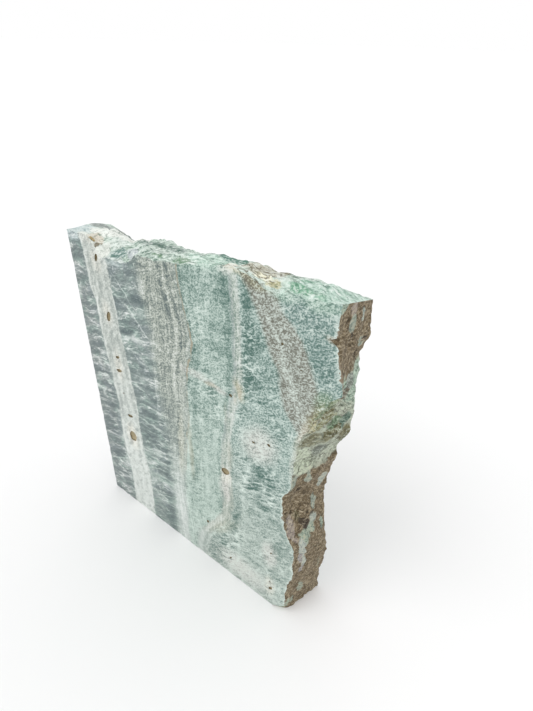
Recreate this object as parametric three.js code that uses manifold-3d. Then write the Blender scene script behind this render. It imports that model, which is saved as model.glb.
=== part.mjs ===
// A slab of banded green onyx that stands on its sawn base.
//
// Two faces are sawn parallel. The left end and the base are sawn square to them. The top and
// the right end are the stone's own broken edge, with a brown weathered rind on the right.
// It is one piece of stone, so it is one closed solid.
//
// Units are millimetres. +X runs along the slab from the sawn end to the natural one, +Y runs
// from the front face to the back one and +Z is up. The tables below count x from the sawn end,
// y from the front face and z from the base. The finished solid is then moved so that the
// origin is in the middle of the bottom of its bounding box.

import * as THREE from "three";
import { mergeVertices } from "three/addons/utils/BufferGeometryUtils.js";
import Module from "manifold-3d";

// Driving dimensions.
const THICKNESS = 25; // between the two sawn faces
const LEFT_HEIGHT = 176; // the sawn end, at the front face
const CORNER = { front: [153.8, 187.7], back: [152.1, 179.5] }; // x, z where top and right end meet

// Height of the broken top edge, as [x, z], along the front face and along the back face.
const TOP_FRONT = [
  [0, LEFT_HEIGHT], [11, 176.6], [15, 175.6], [19, 172.6], [24, 169], [31, 168.2], [38, 170],
  [46, 173], [53, 177], [62, 178.2], [75, 181], [90, 184.4], [107, 187], [116, 185],
  [126, 184.2], [138, 185.6], CORNER.front,
];
const TOP_BACK = [
  [0, 171.6], [10, 170.2], [18, 168.6], [27, 169.8], [36, 173], [44, 174.4], [52, 176],
  [60, 175.8], [66, 174.8], [82, 177.9], [92, 175.8], [105, 179.2], [111, 177.6], [122, 178.2],
  [131, 180.5], [140, 180.3], [147, 178.9], CORNER.back,
];

// How far the natural right end reaches, as [z, x], along the front face and the back face.
const END_FRONT = [
  [0, 140.2], [10, 140.3], [22, 140.6], [34, 143.2], [46, 143.8], [55, 144.2], [60, 140.5],
  [68, 136.5], [78, 135.2], [86, 135.7], [94, 139.3], [112, 140], [122, 141.4], [132, 145.4],
  [142, 149], [149, 153], [153, 156.3], [161, 156], [167, 154.3], [180, 153.2],
  [CORNER.front[1], CORNER.front[0]],
];
const END_BACK = [
  [0, 144.3], [17, 144.2], [26, 145.6], [37, 147.4], [46, 145.8], [56, 143.6], [70, 142],
  [79, 141.4], [88, 142.6], [100, 145.2], [110, 148.6], [122, 150.6], [128, 150.8],
  [138, 149.6], [147, 150], [157, 151.6], [168, 152.5], [CORNER.back[1], CORNER.back[0]],
];

// Lumps and hollows as [along, y, reach along, reach in y, height], where along is x on the top
// and z on the right end. A hollow has a negative height.
const TOP_LUMPS = [
  [1, 15, 9, 9, 1.9], // the smooth crest at the sawn end
  [13, 21, 6, 5, 1.6],
  [29, 11, 13, 8, 3.8], // the white crystal mass above the chipped front edge
  [20, 13, 5, 5, 1.9],
  [44, 14, 7, 5, 1.6],
  [18, 5, 3, 2, -1.6],
  [38, 6, 3.5, 2.5, -1.4],
  [62, 19, 9, 4, 1.6],
  [72, 8, 10, 5, 1.2],
  [88, 15, 8, 5, 1.4],
  [98, 15, 7, 4, 0.9],
  [108, 8, 5, 5, 1.1],
  [121, 12, 9, 7, 1.8], // the brown ledges
  [124, 1, 4, 3, -1.6],
  [139, 13, 10, 8, 1.7],
];
const END_LUMPS = [
  [0, 0, 4.4, 2.6, -6.4], // the corner knocked off at the base
  [0, 10, 9, 7, -1.3],
  [16, 16, 8, 6, 1.1],
  [30, 9, 7, 5, 0.9],
  [47, 17, 7, 6, 1.1],
  [63, 12, 6, 6, 1.3],
  [78, 8, 5, 4, -1.4],
  [96, 14, 7, 6, 1.4],
  [108, 6, 4, 4, -1.3],
  [116, 13, 5, 5, 1.5],
  [127, 17, 13, 8, 1], // the green knob above the waist
  [143, 9, 5, 5, -1.5],
  [158, 16, 7, 5, -1.3],
  [173.5, 0, 1.5, 2.6, -3], // a nick of rind cut by the front face
  [174, 12, 7, 7, 0.9],
];

// Rough relief on the broken surfaces, as layers of [cell along, cell in y, height]. The top
// splits along its fibres, so its cells are long. The rind on the right end is more even.
const TOP_ROUGHNESS = [
  [19, 6, 1.1],
  [8, 3.6, 0.7],
  [3.6, 2.2, 0.4],
];
const END_ROUGHNESS = [
  [12, 8, 0.7],
  [5.5, 4.5, 0.5],
  [2.6, 2.3, 0.35],
];

// The brown ledges on the top: between these x the fall to the back goes in steps.
const LEDGES = { from: 103, to: 130, blend: 5, steps: 4, sharpness: 5 };

// Open pits, as [[x, y, z], [half width, half depth, half height], turn in degrees]. The turn
// leans the pit over to the right as seen from the front.
const PITS = [
  [[20.8, 0, 168.2], [1.1, 3.2, 2.4], 24],
  [[23.1, 0, 136.4], [1.5, 1.8, 3.3], 20],
  [[25.2, 0, 113], [1.9, 1.2, 0.8], -28],
  [[24.6, 0, 104.3], [2.4, 1.5, 1], -18],
  [[28.3, 0, 75], [2.3, 1.6, 1], -15],
  [[28.2, 0, 59.8], [2.9, 2.2, 3.7], 25],
  [[100.7, 0, 79.3], [2.5, 2.8, 2.1], -25],
  [[105, 0, 127.6], [1, 1.4, 0.8], -20],
  [[126.4, 0, 111.7], [0.9, 1.2, 0.8], 0],
  [[86.2, 0, 31.4], [0.8, 1, 1.5], 25],
  [[130.5, 0, 13.6], [0.9, 1.6, 1.7], 35],
  [[16.6, 1.8, 175.2], [2.6, 0.9, 1.7], 20], // two arms of a crack through the crystal mass
  [[20.3, 2.9, 172.4], [0.9, 2.3, 1.5], 0],
  [[153.4, 6.3, 179], [1.1, 1, 1.5], 0], // the rest are holes in the brown rind
  [[153, 15, 166.8], [0.9, 0.8, 0.9], 0],
  [[152, 19, 159], [0.9, 1.1, 1.7], 0],
  [[138.6, 6.4, 88.4], [1.3, 1.1, 1.6], 0],
  [[136.4, 2, 74.4], [1.4, 1.2, 1.3], 0],
  [[136.8, 5.4, 72.2], [1.2, 0.9, 1.4], 0],
  [[140, 9.6, 65], [1.3, 1.2, 1.8], 0],
  [[141.8, 16.4, 66.2], [1.5, 1.6, 1.1], 0],
];

// How finely the surfaces are cut.
const TOP_STEPS = 88;
const END_STEPS = 106;
const DEPTH_STEPS = 14;
const PIT_DETAIL = 1;
const PIT_KNOBBLE = 0.4; // how unevenly a pit is rounded, as a share of its size

const COLOUR = "#a9c4b8";
const FADE = 5; // relief dies out over this distance from the corner where the two edges meet
const CALM = 12; // the top is smooth next to the sawn end and roughens over this distance

const { lerp, clamp, smoothstep, degToRad } = THREE.MathUtils;

// Reads a table of [position, value] pairs, straight between its points.
function read(table, at) {
  const next = table.findIndex(([position]) => position >= at);
  if (next < 0) return table[table.length - 1][1];
  if (next === 0) return table[0][1];
  const [low, high] = [table[next - 1], table[next]];
  return lerp(low[1], high[1], (at - low[0]) / (high[0] - low[0]));
}

// The sum of the bell-shaped lumps at a place on a broken surface.
function lumps(list, along, y) {
  return list.reduce((sum, [a0, y0, reachA, reachY, height]) => {
    const square = ((along - a0) / reachA) ** 2 + ((y - y0) / reachY) ** 2;
    return sum + height * Math.exp(-square);
  }, 0);
}

// A scrambled value from 0 to 1 for a pair of whole numbers, always the same for the same pair.
function scramble(i, j) {
  const mixed = Math.imul(i, 374761393) + Math.imul(j, 668265263);
  const again = Math.imul(mixed ^ (mixed >>> 13), 1274126177);
  return ((again ^ (again >>> 16)) >>> 0) / 2 ** 32;
}

// Smooth noise from -1 to 1 with one value at each corner of a unit grid.
function noise(u, v) {
  const [i, j] = [Math.floor(u), Math.floor(v)];
  const [a, b] = [smoothstep(u - i, 0, 1), smoothstep(v - j, 0, 1)];
  const low = lerp(scramble(i, j), scramble(i + 1, j), a);
  const high = lerp(scramble(i, j + 1), scramble(i + 1, j + 1), a);
  return 2 * lerp(low, high, b) - 1;
}

// The layers of roughness added up. Each layer is moved along so that no two share a grid.
function roughness(layers, along, y) {
  return layers.reduce(
    (sum, [cellAlong, cellY, height], k) =>
      sum + height * noise(along / cellAlong + 17 * k, y / cellY + 31 * k),
    0,
  );
}

// The share of the way from the front profile to the back one, taken in steps on the ledges.
function fall(x, y) {
  const share = y / THICKNESS;
  const { from, to, blend, steps, sharpness } = LEDGES;
  const inside = smoothstep(x, from - blend, from) * (1 - smoothstep(x, to, to + blend));
  const stage = share * steps;
  const rise = clamp((stage - Math.floor(stage) - 0.5) * sharpness + 0.5, 0, 1);
  return lerp(share, (Math.floor(stage) + rise) / steps, inside);
}

// The line where the top and the right end meet, at depth y.
function corner(y) {
  return CORNER.front.map((value, i) => lerp(value, CORNER.back[i], y / THICKNESS));
}

// A point of the broken top. share runs from 0 at the sawn end to 1 at the corner.
function topPoint(share, y) {
  const x = share * corner(y)[0];
  const front = read(TOP_FRONT, share * CORNER.front[0]);
  const back = read(TOP_BACK, share * CORNER.back[0]);
  const relief = lumps(TOP_LUMPS, x, y) + roughness(TOP_ROUGHNESS, x, y) * smoothstep(x, 0, CALM);
  const fade = clamp((corner(y)[0] - x) / FADE, 0, 1);
  return [x, y, lerp(front, back, fall(x, y)) + relief * fade];
}

// A point of the natural right end. share runs from 0 at the base to 1 at the corner.
function endPoint(share, y) {
  const z = share * corner(y)[1];
  const front = read(END_FRONT, share * CORNER.front[1]);
  const back = read(END_BACK, share * CORNER.back[1]);
  const relief = lumps(END_LUMPS, z, y) + roughness(END_ROUGHNESS, z, y);
  const fade = clamp((corner(y)[1] - z) / FADE, 0, 1);
  return [lerp(front, back, y / THICKNESS) + relief * fade, y, z];
}

// One closed outline of the slab at depth y, anticlockwise as seen from the front.
function outline(y) {
  const end = Array.from({ length: END_STEPS }, (_, i) => endPoint(i / END_STEPS, y));
  const top = Array.from({ length: TOP_STEPS + 1 }, (_, i) => topPoint(1 - i / TOP_STEPS, y));
  return [[0, y, 0], ...end, ...top];
}

// The whole solid: outlines at even depths joined by strips, and a flat cap on each face.
function slabGeometry() {
  const rows = Array.from({ length: DEPTH_STEPS + 1 }, (_, j) =>
    outline((THICKNESS * j) / DEPTH_STEPS),
  );
  const count = rows[0].length;
  const faces = [];
  for (let j = 0; j < DEPTH_STEPS; j++)
    for (let i = 0; i < count; i++) {
      const [a, b] = [j * count + i, j * count + ((i + 1) % count)];
      faces.push(a, b + count, b, a, a + count, b + count);
    }
  const cap = (row) => row.map(([x, , z]) => new THREE.Vector2(x, z));
  for (const [a, b, c] of THREE.ShapeUtils.triangulateShape(cap(rows[0]), []))
    faces.push(a, b, c);
  const last = DEPTH_STEPS * count;
  for (const [a, b, c] of THREE.ShapeUtils.triangulateShape(cap(rows[DEPTH_STEPS]), []))
    faces.push(last + a, last + c, last + b);
  return new THREE.BufferGeometry()
    .setAttribute("position", new THREE.Float32BufferAttribute(rows.flat(2), 3))
    .setIndex(faces);
}

// A knobbly round cutter for one pit.
function pitGeometry([centre, halves, turn]) {
  const ball = new THREE.IcosahedronGeometry(1, PIT_DETAIL);
  ball.deleteAttribute("normal").deleteAttribute("uv");
  const cutter = mergeVertices(ball);
  const { position } = cutter.attributes;
  for (let i = 0; i < position.count; i++) {
    const swell = 1 + PIT_KNOBBLE * (scramble(i, Math.round(centre[2])) - 0.5);
    position.setXYZ(i, ...[0, 1, 2].map((k) => position.getComponent(i, k) * halves[k] * swell));
  }
  return cutter.rotateY(degToRad(turn)).translate(...centre);
}

const wasm = await Module();
wasm.setup();

function toSolid(geometry) {
  const vertProperties = new Float32Array(geometry.attributes.position.array);
  const triVerts = new Uint32Array(geometry.index.array);
  return new wasm.Manifold(new wasm.Mesh({ numProp: 3, vertProperties, triVerts }));
}

function toGeometry(solid) {
  const { vertProperties, triVerts } = solid.getMesh();
  return new THREE.BufferGeometry()
    .setAttribute("position", new THREE.Float32BufferAttribute(vertProperties, 3))
    .setIndex(new THREE.Uint32BufferAttribute(triVerts, 1));
}

// Moves a geometry so that the origin is in the middle of the bottom of its box.
function standOnOrigin(geometry) {
  geometry.computeBoundingBox();
  const { min, max } = geometry.boundingBox;
  return geometry.translate(-(min.x + max.x) / 2, -(min.y + max.y) / 2, -min.z);
}

function slab() {
  const pitted = PITS.reduce(
    (stone, pit) => stone.subtract(toSolid(pitGeometry(pit))),
    toSolid(slabGeometry()),
  );
  const stone = new THREE.MeshStandardMaterial({ color: COLOUR, roughness: 0.55, metalness: 0 });
  const mesh = new THREE.Mesh(standOnOrigin(toGeometry(pitted)), stone);
  mesh.name = "onyx_slab";
  return mesh;
}

const group = new THREE.Group();
group.add(slab());
export default group;
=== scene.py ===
"""A sawn slab of banded green onyx, its broken edge and brown skin, and the studio it stands in.

Sizes are in millimetres in the slab's own count: x from the sawn end, y from the front face and
z from the base. They become metres in the frame of the solid when a mesh is made.
"""

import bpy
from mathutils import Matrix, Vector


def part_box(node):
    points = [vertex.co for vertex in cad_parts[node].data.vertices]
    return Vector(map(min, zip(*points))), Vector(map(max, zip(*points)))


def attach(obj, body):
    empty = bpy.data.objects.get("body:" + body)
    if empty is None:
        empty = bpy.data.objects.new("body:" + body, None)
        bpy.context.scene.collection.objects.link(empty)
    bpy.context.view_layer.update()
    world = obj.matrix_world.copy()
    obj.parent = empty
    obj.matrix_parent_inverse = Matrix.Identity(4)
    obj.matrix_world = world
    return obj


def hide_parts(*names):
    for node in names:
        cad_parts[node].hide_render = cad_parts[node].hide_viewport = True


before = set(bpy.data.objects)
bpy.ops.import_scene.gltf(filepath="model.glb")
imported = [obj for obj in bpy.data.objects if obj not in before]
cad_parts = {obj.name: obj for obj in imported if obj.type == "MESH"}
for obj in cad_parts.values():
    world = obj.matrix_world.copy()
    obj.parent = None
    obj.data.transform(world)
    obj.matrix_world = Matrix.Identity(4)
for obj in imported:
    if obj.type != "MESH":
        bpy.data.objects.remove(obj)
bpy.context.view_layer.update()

import math
from types import SimpleNamespace

import bpy
import numpy as np
from bpy.props import FloatProperty, FloatVectorProperty, IntProperty, PointerProperty
from mathutils import Matrix, Vector, geometry

bl_info = {
    "name": "Green onyx slab",
    "version": (1, 0, 0),
    "blender": (4, 5, 0),
    "location": "View3D > Sidebar > Onyx slab",
    "description": "Makes a sawn slab of banded green onyx, its stone and its studio",
    "category": "Object",
}

NODE = "onyx_slab"
MM = 0.001

LOW, HIGH = (np.array(corner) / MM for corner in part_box(NODE))
THICKNESS = float(HIGH[1] - LOW[1])
LEFT_HEIGHT = 176.0
CORNER_FRONT, CORNER_BACK = (153.8, 187.7), (152.1, 179.5)  # x, z where top and end meet

# Height of the broken top along the front and the back face, as (x, z).
TOP_FRONT = (
    (0, LEFT_HEIGHT), (11, 176.6), (15, 175.6), (19, 172.6), (24, 169), (31, 168.2), (38, 170),
    (46, 173), (53, 177), (62, 178.2), (75, 181), (90, 184.4), (107, 187), (116, 185),
    (126, 184.2), (138, 185.6), CORNER_FRONT,
)
TOP_BACK = (
    (0, 171.6), (10, 170.2), (18, 168.6), (27, 169.8), (36, 173), (44, 174.4), (52, 175.2),
    (60, 174.8), (66, 174.4), (82, 177.9), (92, 175.8), (105, 178.4), (111, 177.2), (122, 178.2),
    (131, 180.5), (140, 180.3), (147, 178.9), CORNER_BACK,
)
# Reach of the natural end along the front and the back face, as (z, x).
END_FRONT = (
    (0, 140.2), (10, 140.3), (22, 140.6), (34, 143.2), (46, 143.8), (55, 144.2), (60, 140.5),
    (68, 136.5), (78, 135.2), (86, 135.7), (94, 139.3), (112, 140), (122, 141.4), (132, 145.4),
    (142, 149), (149, 153), (153, 156.3), (161, 156), (167, 154.3), (180, 153.2),
    CORNER_FRONT[::-1],
)
END_BACK = (
    (0, 144.3), (17, 144.2), (26, 145.6), (37, 147.4), (46, 145.8), (56, 143.6), (70, 142),
    (79, 141.4), (88, 142.2), (100, 144.2), (110, 147.4), (122, 150.6), (128, 150.8),
    (138, 149.6), (147, 149.4), (157, 150.6), (168, 152.3), CORNER_BACK[::-1],
)
# Lumps and hollows, as (along, y, reach along, reach in y, height).
TOP_LUMPS = (
    (1, 15, 9, 9, 1.9), (13, 21, 6, 5, 1.6), (29, 11, 13, 8, 3.8), (20, 13, 5, 5, 1.9),
    (44, 14, 7, 5, 1.6), (18, 5, 3, 2, -1.6), (38, 6, 3.5, 2.5, -1.4), (62, 19, 9, 4, 0.5),
    (72, 8, 10, 5, 1.2), (88, 15, 8, 5, 1.4), (98, 15, 7, 4, 0.9), (108, 8, 5, 5, 1.1),
    (121, 12, 9, 7, 1.8), (124, 1, 4, 3, -1.6), (139, 13, 10, 8, 1.7),
)
END_LUMPS = (
    (0, 0, 4.4, 2.6, -6.4), (0, 10, 9, 7, -1.3), (16, 16, 8, 6, 1.1), (30, 9, 7, 5, 0.9),
    (47, 17, 7, 6, 1.1), (63, 12, 6, 6, 1.3), (78, 8, 5, 4, -1.4), (94, 14, 6, 6, 0.9),
    (108, 6, 4, 4, -1.3), (106, 22, 5, 7, -1.9), (118, 13, 4, 5, 1.2), (157, 24, 6, 6, -1.6),
    (127, 17, 13, 8, 1), (143, 9, 5, 5, -1.5), (158, 16, 7, 5, -1.3), (173.5, 0, 1.5, 2.6, -3),
    (174, 12, 7, 7, 0.9),
)
# Layers of roughness, as (cell along, cell in y, height).
TOP_ROUGHNESS = ((19, 6, 1.1), (8, 3.6, 0.7), (3.6, 2.2, 0.4))
END_ROUGHNESS = ((12, 8, 0.7), (5.5, 4.5, 0.5), (2.6, 2.3, 0.35))
TOP_FIBRES = ((7, 1.9, 0.5), (3.4, 1.0, 0.3), (1.5, 0.8, 0.16))
FIBRE_TILTS = ((0, 50), (66, 6), (124, -36))  # the fibres' tilt from each x on, in degrees
FIBRE_BLEND = 4  # half of the stretch over which one tilt gives way to the next
RIND_GRAIN = ((1.5, 1.3, 0.2), (0.8, 0.75, 0.16))
LEDGES = {"from": 103, "to": 130, "blend": 5, "steps": 4, "sharpness": 5}
FADE = 5.0  # relief dies out over this distance from the corner of top and end
CALM = 12.0  # the top is smooth at the sawn end and roughens over this distance
CRYSTALS = {"from": 9, "to": 56, "blend": 6, "count": 46, "steep": 0.055, "tilt": 0.34}
EDGE_ROWS = (0, 0.12, 0.28, 0.5, 0.8)  # the first rows of the mesh, counted from a sawn face
RING_SHARES = (1, 0.95, 0.86, 0.7, 0.48, 0.2)  # the rings of a pit, as shares of its rim
PIT_GAP = 0.25  # the least stone between a pit's rim and the slab's outline
SAME_PLACE, NO_AREA = 1e-7, 1e-9  # below these, two points are one and a triangle is none

# Open pits in the front face, as (x, z), (half width, half height), turn in degrees, depth.
FACE_PITS = (
    ((20.8, 167.3), (1.1, 2.3), 24, 3.0), ((23.1, 136.4), (1.5, 3.3), 20, 1.8),
    ((25.2, 113.0), (1.9, 0.8), -28, 1.2), ((24.6, 104.3), (2.4, 1.0), -18, 1.5),
    ((25.5, 89.5), (0.7, 0.5), -20, 0.6), ((28.3, 75.0), (2.3, 1.0), -15, 1.6),
    ((28.2, 59.8), (2.9, 3.7), 25, 2.2), ((100.7, 79.3), (2.5, 2.1), -25, 2.8),
    ((105.0, 127.6), (1.0, 0.8), -20, 1.4), ((126.4, 111.7), (0.9, 0.8), 0, 1.2),
    ((118.0, 108.4), (0.9, 0.6), -10, 0.7), ((86.2, 31.4), (0.8, 1.5), 25, 1.0),
    ((130.5, 13.6), (0.9, 1.7), 35, 1.6), ((130.0, 18.8), (0.6, 0.6), 0, 0.5),
    ((102.6, 14.0), (1.4, 0.5), -52, 0.6), ((130.0, 42.0), (0.5, 0.9), 20, 0.6),
    ((131.0, 164.0), (0.6, 0.6), 0, 0.6), ((140.0, 156.4), (0.5, 0.4), 0, 0.4),
)
# Holes in the broken surfaces, as (along, y, half along, half in y, depth).
TOP_HOLES = ((16.6, 1.8, 2.6, 0.9, 1.5), (20.3, 2.9, 0.9, 2.3, 1.5))
END_HOLES = (
    (179, 6.3, 1.5, 1.0, 1.1), (166.8, 15, 0.8, 0.8, 0.9), (164.7, 19, 0.6, 0.6, 0.7),
    (159, 19, 1.7, 1.1, 1.0), (88.4, 6.4, 1.7, 1.2, 1.4), (74.4, 2, 1.3, 1.2, 1.4),
    (72.2, 5.4, 1.4, 0.9, 1.2), (65, 9.6, 1.8, 1.2, 1.3), (66.2, 16.4, 1.1, 1.6, 1.5),
    (68, 13.6, 0.8, 0.9, 1.1), (101, 20, 0.7, 0.7, 0.8),
)

# The drawing on the sawn faces. Tracks are (z, x) pairs, because the bands stand upright.
SPAN = 200.0
VEIN_LEFT = (
    (0, 20), (20, 21), (35, 20), (40, 19), (50, 17.8), (60, 18), (80, 19), (90, 17.6), (100, 17.6),
    (110, 16), (120, 15), (130, 14), (140, 14.6), (150, 12), (165, 11.3), (176, 10), (200, 9),
)
VEIN_RIGHT = (
    (0, 38.6), (20, 39.4), (40, 38.6), (50, 37.4), (60, 36.4), (80, 36), (100, 35), (120, 33),
    (130, 31), (150, 30), (168, 29), (200, 28),
)
BLUE_END = (
    (0, 61), (30, 61), (60, 60), (80, 59.5), (100, 57), (120, 55.4), (140, 55), (150, 53),
    (170, 50), (200, 49),
)
BROWN_LINE = (
    (0, 70), (40, 70.4), (50, 71), (60, 72), (80, 74), (90, 75.4), (100, 77), (120, 77.8),
    (130, 79), (138, 81.4), (146, 82.6), (155, 81.2), (165, 78.4), (175, 77), (188, 76.4), (200, 76),
)
CREAM_VEIN = (
    (0, 80), (14, 82), (22, 84.6), (28, 88), (34, 92), (40, 96.4), (46, 100), (54, 101.8),
    (66, 102.6), (80, 101.2), (95, 102), (108, 104), (120, 106.4), (130, 109), (150, 109.6),
    (170, 108.8), (188, 107.4), (200, 107),
)
TAN_LEFT = (
    (0, 150), (110, 148), (122, 143), (128, 138.6), (135, 133.4), (142, 131), (150, 129.8),
    (160, 124.4), (170, 120.4), (178, 116), (186, 111), (200, 108),
)
TAN_RIGHT = (
    (0, 152), (110, 150), (125, 146), (135, 146.6), (145, 149.6), (152, 147), (160, 143.6),
    (166, 140.8), (172, 136.6), (178, 130), (186, 127), (200, 124),
)

# Bands across the blue stone, as (z, brightness) where they cross a given x. They rise to the
# right.
WISP_RISE = math.tan(math.radians(11))
WISPS_LEFT_AT, WISPS_RIGHT_AT = 7.0, 44.0
WISPS_LEFT = (
    (0, 160), (2, 155), (5, 170), (11, 159), (16.5, 173), (19, 157), (20.5, 164), (22.5, 152),
    (24.5, 165), (30, 148), (34.5, 133), (41, 174), (46.5, 131), (50, 182), (52.5, 144),
    (54.5, 154), (56.5, 145), (59.5, 163), (61, 156), (63.5, 173), (67.5, 158), (70.5, 164),
    (74, 142), (79, 167), (81.5, 151), (85, 187), (88, 146), (93.5, 169), (97.5, 154),
    (103.5, 179), (108.5, 151), (111, 163), (113.5, 144), (117, 162), (119.5, 140), (122.5, 141),
    (125.5, 170), (127.5, 158), (129.5, 169), (132, 147), (134, 164), (136, 148), (138.5, 161),
    (140, 156), (142, 166), (145, 166), (149, 152), (152, 146), (155, 176), (158, 172),
    (162.5, 182), (166, 146), (170, 166), (176, 172),
)
WISPS_RIGHT = (
    (0, 158), (2.5, 156), (6.5, 168), (9, 155), (13.5, 169), (16, 158), (19, 169), (23, 186),
    (26, 167), (34, 188), (38, 196), (42, 179), (46, 170), (50, 191), (52.5, 174), (55, 180),
    (58, 192), (62, 166), (65, 144), (67, 152), (69.5, 144), (71.5, 159), (74, 133), (78, 156),
    (81.5, 149), (84.5, 144), (89, 171), (91, 146), (94, 170), (96, 146), (99, 145), (101.5, 165),
    (103.5, 147), (105.5, 173), (107, 162), (109, 173), (112, 136), (116.5, 159), (119.5, 151),
    (123.5, 165), (126, 160), (130, 192), (133, 166), (136, 148), (137.5, 162), (141.5, 151),
    (146, 173), (149.5, 152), (153, 132), (157, 155), (161, 160), (165, 152), (176, 150),
)
# Brightness across the upright bands, as (millimetres right of a track, brightness), drawn at
# three heights each: by the foot, in the middle and near the top.
ACROSS_LINE = (
    ((-24, 158), (-20.5, 154), (-17.7, 163), (-14.5, 157), (-11, 178), (-7, 202), (-5.6, 200),
     (-4.2, 209), (-2, 200), (2, 186), (5.7, 175), (8.7, 182), (12, 184)),
    ((-24, 156), (-20, 160), (-14.8, 176), (-13, 172), (-10.5, 167), (-8.2, 180), (-7, 165),
     (-4.5, 193), (-1.2, 183), (1.6, 204), (3.7, 174), (6, 180), (7.7, 180), (9.2, 189), (12, 188)),
    ((-24, 168), (-20.8, 181), (-17.5, 168), (-16.5, 175), (-15.2, 168), (-13.7, 178),
     (-12, 150), (-11.2, 152), (-8.9, 193), (-6.2, 148), (-4.2, 181), (-3.5, 166), (-1.8, 180),
     (0.3, 162), (1.5, 160), (3, 176), (5.6, 168), (7.6, 186), (9, 176), (12, 189)),
)
ACROSS_CREAM = (
    ((-16, 197), (-13.5, 200), (-11, 188), (-8.7, 184), (-7.3, 188), (-4.5, 176), (-3.5, 180),
     (-0.3, 197), (1.4, 182), (3.2, 189), (6, 166), (10, 165)),
    ((-16, 188), (-12.2, 194), (-10, 182), (-6.5, 198), (-4.8, 176), (-3, 188), (-2.3, 180),
     (-1.2, 188), (-0.2, 182), (0.8, 208), (2.6, 188), (4, 176), (5.2, 188), (6, 180),
     (7.6, 193), (10, 191)),
    ((-16, 182), (-14.2, 171), (-12.4, 180), (-9.2, 170), (-8.2, 178), (-5.6, 156), (-4.4, 156),
     (-1.9, 186), (-0.9, 176), (0.2, 196), (2, 186), (4.4, 148), (6.2, 153), (8, 148), (10, 156)),
)
ACROSS_VEIN = (
    ((-2, 170), (0.4, 196), (2, 222), (4, 212), (6.2, 209), (8, 208), (10.5, 224), (13.7, 205),
     (17, 224), (18.6, 204), (20, 180)),
    ((-2, 170), (0, 186), (1.1, 210), (3.4, 190), (6.6, 205), (8.4, 194), (12, 212), (14.7, 196),
     (16.4, 204), (18, 186), (20, 165)),
)

# Patches on the sawn faces, as x, z, half width, half height, tilt, and how much paler they are.
PATCHES = (
    (8, 137.5, 8, 4, 12, -0.3), (14, 28.6, 6, 4, 35, 0.9), (3, 25, 5, 4, 0, -0.8),
    (38, 165, 8, 4.6, 0, 0.2), (37, 150, 6, 6, 0, 0.3), (48, 153, 5, 5, 0, -0.3),
    (37.5, 133.6, 6.5, 2.8, 22, -1.1), (47, 134, 5, 3, 25, 0.4), (45, 66, 8, 5, 12, -0.6),
    (51, 47.6, 6, 3.4, 14, -0.9), (50, 31, 6, 7, 40, -0.5), (43, 38, 4, 6, 0, 0.3),
    (54, 12, 7, 8, 25, -0.6), (68, 159.5, 2.2, 5, -8, -0.6), (64, 30, 3.4, 9, 0, 0.3),
    (101.5, 175, 4.4, 6, 0, -0.9), (91, 163.4, 5, 1.4, 0, 0.6), (98, 158.4, 9, 2.6, 8, -0.5),
    (99, 148.4, 8, 2.6, 4, -0.7), (87, 134.6, 5, 2.4, 10, -0.6), (94, 123.6, 5, 3.4, -20, -1.0),
    (80.5, 121, 2.4, 3.4, 0, -1.0), (81, 108, 3, 6.4, 0, -1.1), (88, 109, 3, 5, 10, -0.6),
    (86, 130.4, 10, 1.6, 2, 0.6), (117, 160, 5, 7, 12, -1.1), (116, 141.6, 6.4, 3, -12, -1.3),
    (124, 149, 4, 7, 0, -0.5), (114, 175, 4, 3.4, 0, -0.9), (127.4, 132.6, 7, 3, -10, -0.7),
    (132, 122, 5, 5, -20, -0.5), (121, 124, 4, 5, 0, -0.3), (146, 164, 6, 8, 0, -0.5),
    (124, 91, 6, 3.4, -25, -1.5), (119, 81, 4.6, 1.8, 8, -1.2), (124, 71.6, 6, 1.7, 8, -1.2),
    (130, 66.4, 4.4, 1.4, 15, -0.9), (118, 63.6, 4, 1.6, 20, -0.7), (107, 52, 2.6, 5, -8, -1.0),
    (105.5, 40.4, 2.6, 3.6, -20, -1.0), (101.4, 27.4, 3.2, 2.6, 0, -0.9),
    (96, 21, 3.4, 6, -22, -0.9), (93, 12, 5, 2.6, -12, -1.2), (93, 4.4, 6, 2.6, 0, -1.0),
    (133.4, 48, 2.6, 4.6, 0, -1.0), (119, 25.4, 7, 0.9, 0, -0.9), (79, 66, 3.4, 9, 0, -0.5),
    (112, 11, 13, 8, 4, 0.5), (118, 112, 9, 7, 0, 0.4), (97, 58, 3, 9, 6, -0.4),
    (133, 26, 5, 6, 0, -0.3), (84, 86, 3, 10, 0, -0.3), (66, 100, 2.4, 16, 2, -0.1),
    (76, 40, 3, 8, 0, -0.3), (68, 118, 4.4, 13, 0, 0.7), (11.6, 118, 4, 24, 4, 0.5),
    (52, 89, 5, 9, 0, -0.5), (87, 174, 7, 9, 0, -0.5), (102, 127, 15, 6, 0, 0.4),
    (98, 116, 8, 6, 0, 0.4), (124, 158, 5, 20, 0, -0.4), (104, 54, 7, 18, 0, -0.5),
    (68, 54, 4, 18, 0, -0.5), (90, 10, 9, 8, 0, -0.6), (136, 54, 7, 16, 0, -0.4),
    (140, 150, 8, 20, 0, -0.25), (37, 171, 6, 5, 0, 0.3), (92, 136, 8, 6, 0, 0.4),
    (21, 96, 4, 10, 0, 0.3),
)
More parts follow.
